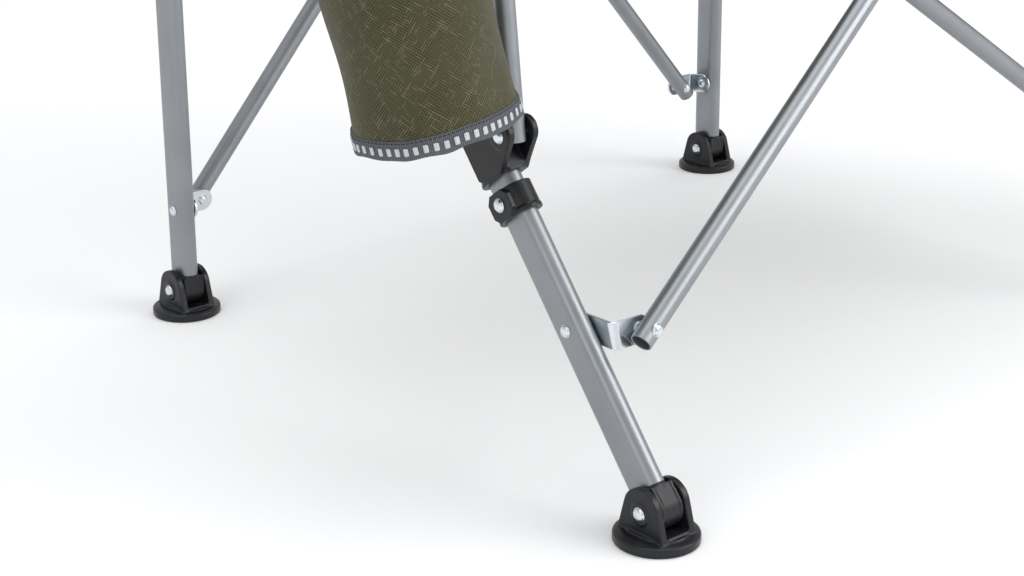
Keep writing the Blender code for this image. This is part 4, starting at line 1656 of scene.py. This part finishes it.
@dataclass
class SoftBody:
    """Seat, back, straps, armrests and pouches."""

    places: Places
    repeat: Repeat
    half: float = 0.316
    seat_rear: Triple = (0.0, 0.262, 0.452)
    seat_front: Triple = (0.0, -0.118, 0.524)
    seat_sag: float = 0.060
    back_low: float = 0.476
    back_high: float = 1.058
    back_face: float = 0.261
    back_sag: float = 0.012
    strap_heights: tuple[float, ...] = (0.452, 0.506, 1.031)
    corner_strap: float = 0.2635

    def seat(self, across: float, along: float) -> Vector:
        """Seat cloth: it sags between its corners and puckers at them.

        Args:
            across: Share of its width.
            along: Share of its length, from the rear.

        Returns:
            The place.
        """
        width = 2 * across - 1
        run = Vector(self.seat_front) - Vector(self.seat_rear)
        dip = (self.seat_sag * math.sin(math.pi * along) ** 0.8 + 0.012) * (1 - width * width)
        near = math.exp(-((1 - abs(width)) ** 2 + min(along, 1 - along) ** 2) / 0.02)
        fold = 0.0022 * near * wave(abs(width) + 0.8 * min(along, 1 - along), 0.09, 0.6)
        ripple = 0.0009 * wave(along, 0.31, 1.0 + 2 * width) * (1 - width * width)
        narrow = 1 - 0.022 * math.sin(math.pi * along)
        rise = run.z * along - dip - 0.003 + fold + ripple
        return Vector((self.half * width * narrow, self.seat_rear[1] + run.y * along,
                       self.seat_rear[2] + rise))

    def back(self, across: float, along: float) -> Vector:
        """Back cloth: it hangs from its top corners and gives to the rear.

        Args:
            across: Share of its width.
            along: Share of its height.

        Returns:
            The place.
        """
        width = 2 * across - 1
        give = self.back_sag * (1 - width * width) * math.sin(math.pi * along) ** 0.6
        near = math.exp(-((1 - abs(width)) ** 2 + min(along, 1 - along) ** 2) / 0.02)
        fold = 0.0020 * near * wave(abs(width) + 0.7 * min(along, 1 - along), 0.10, 0.2)
        ripple = 0.0012 * wave(width, 0.8, 1.0 + along) * math.sin(math.pi * along)
        narrow = 1 - 0.030 * math.sin(math.pi * along)
        droop = 0.006 * (1 - width * width) * along
        height = self.back_low + (self.back_high - self.back_low) * along - droop
        return Vector((-self.half * width * narrow, self.back_face + give + fold + ripple, height))

    def strap_loop(self, depth: float, width: float, start: Sequence[Point],
                   stop: Sequence[Point], height: float) -> bpy.types.Mesh:
        """Strap that comes from the cloth, goes round a tube and comes back.

        Args:
            depth: The tube's depth.
            width: The tube's width.
            start: Points before the tube.
            stop: Points after it.
            height: The strap's width.

        Returns:
            The mesh.
        """
        slack = 0.0014
        around = oval(depth + 2 * slack, width + 2 * slack)
        return ribbon([*start, *around, *stop], height, 0.0014)

    def straps(self) -> None:
        """Straps that tie the seat and the back to the posts and uprights."""
        start = [(-0.036, -0.0322), (-0.016, -0.0290)]
        stop = [(-0.0108, -0.0040), (-0.0130, -0.0200), (-0.0180, -0.0272), (-0.036, -0.0304)]
        post_loop = self.strap_loop(0.029, 0.016, start, stop, 0.024)
        front_start = [(-0.040, -0.0030), (-0.018, -0.0052)]
        front_stop = [(-0.0116, 0.0036), (-0.0180, -0.0010), (-0.040, -0.0008)]
        front_loop = self.strap_loop(0.016, 0.016, front_start, front_stop, 0.022)
        for side in Side:
            post = self.places.spot(side, "rear_foot_tilt")
            loops = joined(*[raised(post_loop, height) for height in self.strap_heights])
            add_piece(side.label + "_post_straps", loops, WEBBING, side.label + "_side",
                      framed((post.x, post.y, 0.0)), side)
            add_piece(side.label + "_seat_corner_strap", raised(front_loop, self.corner_strap),
                      WEBBING, side.label + "_upright",
                      framed(self.places.spot(side, "upright_fold"), UPRIGHT_LEAN), side)

    def build(self) -> None:
        """Make all the soft pieces."""
        SlungPanel("seat", self.seat, "seat", "seat", self.repeat, welts=(0.27, 0.73)).build()
        SlungPanel("back", self.back, "backrest", "backrest", self.repeat, welts=(0.24, 0.76),
                   cross_welts=(0.30, 0.80)).build()
        self.straps()
        for side in Side:
            SidePouch(self.repeat, side).build()
            Armrest(self.places, side).build()


@dataclass
class SidePouch:
    """Round hanging pouch with a taped hem, white dashes and a hanging panel."""

    repeat: Repeat
    side: Side
    floor: Triple = (0.4065, -0.1545, 0.2735)
    lean: float = math.radians(10.7)
    back: float = math.radians(5.5)
    radius: float = 0.0560
    waist: float = 0.036
    height: float = 0.226
    wall: float = 0.0016
    hem: float = 0.0118
    dash_pitch: float = 0.0068
    steps: int = 120
    tape: float = 0.0011
    hung_from: Triple = (0.402, -0.036, 0.6675)
    hung_run: float = 0.112
    fold_line: float = 0.379

    def swell(self, angle: float, height: float) -> float:
        """Outer radius at an angle and a height.

        Args:
            angle: Angle round the pouch.
            height: Height above its floor.

        Returns:
            The radius.
        """
        share = height / self.height
        folds = 0.0011 * share * math.sin(3 * angle + 1.2)
        folds += 0.0007 * math.sin(5 * angle + 9 * share)
        pull = 0.0009 * math.sin(8 * angle + 0.5) * math.exp(-height / 0.030)
        slim = 0.015 * share + self.waist * math.exp(-((share - 0.22) / 0.16) ** 2)
        flare = 0.0012 * math.exp(-height / 0.007)
        return self.radius * (1 - slim) + folds + pull + flare

    def lift(self, angle: float, height: float) -> float:
        """How far a ring stands above its level at an angle."""
        uneven = 0.0006 * math.sin(9 * angle + 1.3) + 0.0004 * math.sin(14 * angle)
        return 0.0008 * math.sin(4 * angle + 0.4) + uneven * math.exp(-max(height, 0.0) / 0.010)

    def around(self, height: float, out: float) -> list[Vector]:
        """Ring round the pouch at a height, stood off its cloth.

        Args:
            height: Height above the floor.
            out: How far off the cloth.

        Returns:
            The ring's points.
        """
        points = []
        for step in range(self.steps):
            angle = 2 * math.pi * step / self.steps
            reach = self.swell(angle, max(height, 0.0)) + out
            level = height + self.lift(angle, height)
            points.append(Vector((reach * math.cos(angle), reach * math.sin(angle), level)))
        return points

    def bag(self) -> bpy.types.Mesh:
        """The pouch's cloth with its floor.

        Returns:
            The mesh.
        """
        levels = [self.height * step / 44 for step in range(1, 45)]
        rings = [[Vector((0.0, 0.0, 0.0004))] * self.steps]
        rings += [self.around(0.0004, -0.040), self.around(0.0003, -0.018),
                  self.around(0.0002, -0.0030), self.around(0.0012, -0.0008)]
        rings += [self.around(level, 0.0) for level in levels]
        rings += [self.around(self.height, -self.wall)]
        rings += [self.around(level, -self.wall) for level in reversed(levels[1::3])]
        rings += [self.around(0.0020, -self.wall - 0.002), self.around(0.0020, -0.030)]
        rings += [[Vector((0.0, 0.0, 0.0020))] * self.steps]
        return Shape().loft(rings, caps=False).mesh()

    def band(self, low: float, high: float, thick: float) -> bpy.types.Mesh:
        """Tape round the pouch between two heights.

        Args:
            low: Its lower edge.
            high: Its upper edge.
            thick: How far it stands off the cloth.

        Returns:
            The mesh.
        """
        ease = 0.0007
        inner = -self.wall - thick * 0.3
        rows = [low + ease + (high - low - 2 * ease) * step / 6 for step in range(7)]
        outline = [(row, thick) for row in rows]
        outline += [(high, thick * 0.6), (high, inner), (low, inner), (low, thick * 0.6)]
        rings = [self.around(height, out) for height, out in outline]
        return Shape().loft(rings, loop=True).mesh()

    def dots(self, height: float, out: float, pitch: float) -> list[Spot]:
        """Evenly spaced spots round the pouch.

        Args:
            height: Height above the floor.
            out: How far off the cloth.
            pitch: Distance from spot to spot.

        Returns:
            The spots.
        """
        length = 2 * math.pi * (self.radius + out)
        count = round(length / pitch)
        spots = []
        for number in range(count):
            angle = 2 * math.pi * (number + 0.5) / count
            reach = self.swell(angle, max(height, 0.0)) + out
            way = Vector((math.cos(angle), math.sin(angle), 0.0))
            place = way * reach + Vector((0.0, 0.0, height + self.lift(angle, height)))
            spots.append(Spot(place, way, Vector((-way.y, way.x, 0.0))))
        return spots

    def panel(self, frame: Matrix) -> bpy.types.Mesh:
        """Cloth panel from the pouch's inboard rim up to the armrest, in the row frame.

        Args:
            frame: Where the pouch stands on the right side.

        Returns:
            The mesh.
        """
        back = frame.inverted()
        rings = []
        for row in range(25):
            rise = row / 24
            near = []
            far = []
            for column in range(41):
                share = column / 40
                angle = math.radians(105 + 150 * share)
                reach = self.swell(angle, self.height)
                rim = Vector((reach * math.cos(angle), reach * math.sin(angle),
                              self.height - 0.004))
                edge = back @ (Vector(self.hung_from) - Vector((0.0, self.hung_run * share, 0.0)))
                place = rim.lerp(edge, rise)
                bow = 0.004 * math.sin(math.pi * rise) * math.sin(math.pi * share)
                place.x += bow + 0.0008 * math.sin(math.pi * rise) * wave(share, 0.27, 0.4)
                near.append(place)
                far.append(place + Vector((-self.wall, 0.0, 0.0)))
            rings.append(near + far[::-1])
        return Shape().loft(rings).mesh()

    def build(self) -> None:
        """Make the pouch."""
        label = self.side.label
        body = label + "_upright"
        turned = framed(self.floor, self.back, self.lean)
        place = framed((self.floor[0] * self.side.value, self.floor[1], self.floor[2]), self.back,
                       self.lean * self.side.value)
        bag = add_piece(label + "_pouch_cloth", self.bag(), CLOTH, body, place, self.side,
                        [label + "_side_pouch"])
        hem = self.band(-0.0008, self.hem, self.tape)
        rim = self.band(self.height - 0.018, self.height + 0.0012, self.tape)
        tapes = add_piece(label + "_pouch_tapes", joined(hem, rim), WEBBING, body, place, self.side)
        on_tape = self.tape + 0.0001
        dashes = self.repeat.mesh(self.dots(self.hem * 0.42, on_tape, self.dash_pitch),
                                  dash_pad(0.0034, 0.0054, 0.0007), DASH)
        marks = add_piece(label + "_pouch_dashes", dashes, DASH, body, place, self.side)
        rows = self.dots(self.hem - 0.0012, on_tape, 0.0031)
        rows += self.dots(self.height - 0.0168, on_tape, 0.0036)
        rows += self.dots(self.height - 0.0030, on_tape, 0.0036)
        sewing = add_piece(label + "_pouch_stitches",
                           self.repeat.mesh(rows, thread_bead(0.0023, 0.00036), THREAD), THREAD,
                           body, place, self.side)
        panel = add_piece(label + "_pouch_panel", self.panel(turned), CLOTH, body, place, self.side)
        for piece in (bag, tapes, marks, sewing, panel):
            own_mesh(piece)


@dataclass
class Armrest:
    """Padded arm with a sewn edge and a strap to the post, in the frame of its bolt."""

    places: Places
    side: Side
    inner: float = -0.022
    outer: float = 0.076
    front: float = -0.457
    rear: float = -0.165
    thick: float = 0.015
    corner: float = 0.024
    strap: float = 0.022
    pressure: float = 4.0
    stiffness: float = 15.0
    give: float = 0.0045
    settle: int = 20
    fold_line: float = 0.024

    def outline(self, inset: float = 0.0) -> list[Point]:
        """Top view of the pad.

        Args:
            inset: How far it is taken in.

        Returns:
            The outline.
        """
        radius = self.corner
        low = self.front + inset
        inner = self.inner + inset
        outer = self.outer - inset
        rear = self.rear
        points = arc((inner + radius, low + radius), radius, 180, 270, 10)
        points += arc((outer - radius, low + radius), radius, 270, 360, 10)
        points += [(outer, rear - 0.02 + inset), (0.062 - inset, rear + 0.03),
                   (0.034, rear + 0.058 - inset), (0.010, rear + 0.058 - inset),
                   (inset - 0.006, rear + 0.03), (inner, rear - 0.02 + inset)]
        return points

    def pad(self) -> bpy.types.Mesh:
        """Stuffed pad: a crowned form, swollen as cloth over its filling."""
        levels = [(0.006, -0.5), (0.0015, -0.32), (0.0, 0.0), (0.0015, 0.32), (0.006, 0.5)]
        rings = [ring(self.outline(inset), self.thick * level) for inset, level in levels]
        blank = Shape().loft(rings).mesh()
        return self.swollen(blank)

    def swollen(self, blank: bpy.types.Mesh) -> bpy.types.Mesh:
        """Blow a blank up as cloth and hold each point near its place.

        Args:
            blank: The pad's plain form.

        Returns:
            The swollen pad.
        """
        item = workpiece("pad_blank", blank)
        even = item.modifiers.new("even", "REMESH")
        even.mode = "VOXEL"
        even.voxel_size = 0.0045
        start = baked(item)
        cloth = workpiece("pad_cloth", start)
        step = cloth.modifiers.new("cloth", "CLOTH")
        step.settings.use_pressure = True
        step.settings.uniform_pressure_force = self.pressure
        step.settings.effector_weights.gravity = 0.0
        step.settings.tension_stiffness = self.stiffness
        step.settings.compression_stiffness = self.stiffness
        step.point_cache.frame_start = 1
        step.point_cache.frame_end = self.settle
        for number in range(1, self.settle + 1):
            bpy.context.scene.frame_set(number)
        result = baked(cloth)
        for vertex, first in zip(result.vertices, start.vertices):
            move = vertex.co - first.co
            if move.length > self.give:
                vertex.co = first.co + move * (self.give / move.length)
        bpy.context.scene.frame_set(1)
        smooth = workpiece("pad_smooth", result)
        fine = smooth.modifiers.new("fine", "SUBSURF")
        fine.levels = fine.render_levels = 1
        return baked(smooth)

    def piping(self, pad: bpy.types.Mesh) -> bpy.types.Mesh:
        """Round piping sewn about the middle of the swollen pad.

        Args:
            pad: The swollen pad.

        Returns:
            The mesh.
        """
        skin = BVHTree.FromPolygons([vertex.co for vertex in pad.vertices],
                                    [tuple(face.vertices) for face in pad.polygons])
        edge = self.outline()
        rings = []
        count = len(edge)
        for index, (x, y) in enumerate(edge):
            behind = Vector(edge[index - 1])
            ahead = Vector(edge[(index + 1) % count])
            way = (ahead - behind).normalized()
            out = Vector((way.y, -way.x, 0.0))
            corner = Vector((x, y, 0.0))
            middle = (skin.ray_cast(corner + out * 0.02, -out)[0] or corner) + out * 0.0008
            rings.append([middle + out * a + Vector((0.0, 0.0, b)) for a, b in circle(0.0021, 10)])
        return Shape().loft(rings, loop=True).mesh()

    def strap_mesh(self) -> bpy.types.Mesh:
        """Flat strap from the pad's rear to the bolt on the post.

        Returns:
            The mesh.
        """
        points = [(0.024, self.rear + 0.020), (0.0215, self.rear + 0.050),
                  (0.0165, self.rear + 0.085), (0.0130, self.rear + 0.115), (0.0123, -0.020),
                  (0.0123, 0.0), (0.0123, 0.012)]
        return ribbon(points, self.strap, 0.0028)

    def build(self) -> None:
        """Make the armrest."""
        label = self.side.label
        body = label + "_armrest"
        bolt = self.places.spot(self.side, "armrest_fold")
        frame = framed(bolt)
        mesh = self.pad()
        layer = mesh.uv_layers.get(CLOTH_UV) or mesh.uv_layers.new(name=CLOTH_UV)
        flat = [value for loop in mesh.loops for value in mesh.vertices[loop.vertex_index].co.xy]
        layer.data.foreach_set("uv", flat)
        pad = add_piece(label + "_armrest_pad", mesh, CLOTH, body, frame, self.side, [body])
        piping = add_piece(label + "_armrest_piping", self.piping(mesh), WEBBING, body, frame,
                           self.side)
        add_piece(label + "_armrest_strap", self.strap_mesh(), WEBBING, body, frame, self.side)
        for piece in (pad, piping):
            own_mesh(piece)


# ---------------------------------------------------------------- floor, lights and camera
@dataclass
class Studio:
    """Plain pale floor, soft lights and the camera."""

    floor_size: float = 14.0
    floor_colour: Colour = (0.88, 0.88, 0.88, 1.0)
    glow: Point = (0.07, 0.19)
    surround: Colour = (0.93, 0.94, 0.96, 1.0)
    light: float = 0.75
    extra_seen: float = 0.22
    lens: float = 69.78
    shift: Point = (0.0776, -0.1054)
    eye: Triple = (-1.2064, -1.1416, 0.6202)
    right: Triple = (0.7749, -0.6318, -0.0190)
    ahead: Triple = (0.6006, 0.7454, -0.2892)

    def build(self) -> None:
        """Make the whole studio."""
        self.floor()
        self.world()
        self.softbox("key_light", (1.6, -2.6, 1.9), (0.0, 0.0, 0.3), 2.2, 60.0)
        self.softbox("top_light", (-0.3, 0.2, 3.4), (0.0, 0.0, 0.0), 3.0, 45.0)
        self.softbox("fill_light", (-3.2, -1.2, 1.6), (0.0, 0.0, 0.4), 1.4, 10.0)
        self.camera()

    def floor(self) -> None:
        """Floor plane with a plain pale finish."""
        half = self.floor_size / 2
        mesh = bpy.data.meshes.new("floor")
        mesh.from_pydata([(-half, -half, 0), (half, -half, 0), (half, half, 0), (-half, half, 0)],
                         [], [(0, 1, 2, 3)])
        material, bench, shader = start_material("pale_floor")
        place = bench.add("ShaderNodeTexCoord").outputs["Object"]
        away = bench.add("ShaderNodeVectorMath", {0: place}, operation="LENGTH")
        bench.dress(shader, {
            "Base Color": self.floor_colour, "Roughness": 0.9, "Specular IOR Level": 0.1,
            "Emission Color": (1.0, 1.0, 1.0, 1.0),
            "Emission Strength": bench.spread(away.outputs["Value"], 0.4, 3.6, *self.glow)})
        mesh.materials.append(material)
        item = bpy.data.objects.new("floor", mesh)
        bpy.context.scene.collection.objects.link(item)

    def world(self) -> None:
        """Even pale surroundings."""
        world = bpy.data.worlds.new("studio")
        world.use_nodes = True
        bench = Bench(world.node_tree)
        seen = bench.add("ShaderNodeLightPath").outputs["Is Camera Ray"]
        strength = bench.math("MULTIPLY_ADD", seen, self.extra_seen, self.light)
        bench.dress(world.node_tree.nodes["Background"],
                    {"Color": self.surround, "Strength": strength})
        bpy.context.scene.world = world

    def softbox(self, name: str, place: Sequence[float], aim: Sequence[float], size: float,
                power: float) -> None:
        """Square soft light that points at a place.

        Args:
            name: The light's name.
            place: Where it is.
            aim: The place that it points at.
            size: Length of its side.
            power: Its power in watts.
        """
        light = bpy.data.lights.new(name, "AREA")
        light.size = size
        light.energy = power
        item = bpy.data.objects.new(name, light)
        item.location = place
        item.rotation_euler = (Vector(aim) - Vector(place)).to_track_quat("-Z", "Y").to_euler()
        bpy.context.scene.collection.objects.link(item)

    def camera(self) -> None:
        """Camera at the front left, a little above the seat, looking down."""
        data = bpy.data.cameras.new("camera")
        data.lens = self.lens
        data.sensor_width = 36.0
        data.shift_x, data.shift_y = self.shift
        data.dof.use_dof = False
        item = bpy.data.objects.new("camera", data)
        right = Vector(self.right).normalized()
        ahead = Vector(self.ahead).normalized()
        up = right.cross(ahead).normalized()
        turn = Matrix((right, up, -ahead)).transposed().to_4x4()
        item.matrix_world = Matrix.Translation(self.eye) @ turn
        bpy.context.scene.collection.objects.link(item)
        bpy.context.scene.camera = item


def main() -> None:
    """Load the frame, build every piece round it and report."""
    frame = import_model()
    scene = bpy.context.scene
    scene.view_settings.view_transform = "Standard"
    places = Places(frame)
    repeat = Repeat()
    Studio().build()
    SideFrame(places, repeat, Tubing()).build()
    SoftBody(places, repeat).build()
    LOG.info("all pieces built")


if __name__ == "__main__":
    logging.basicConfig(level=logging.INFO, format="%(name)s: %(message)s")
    main()
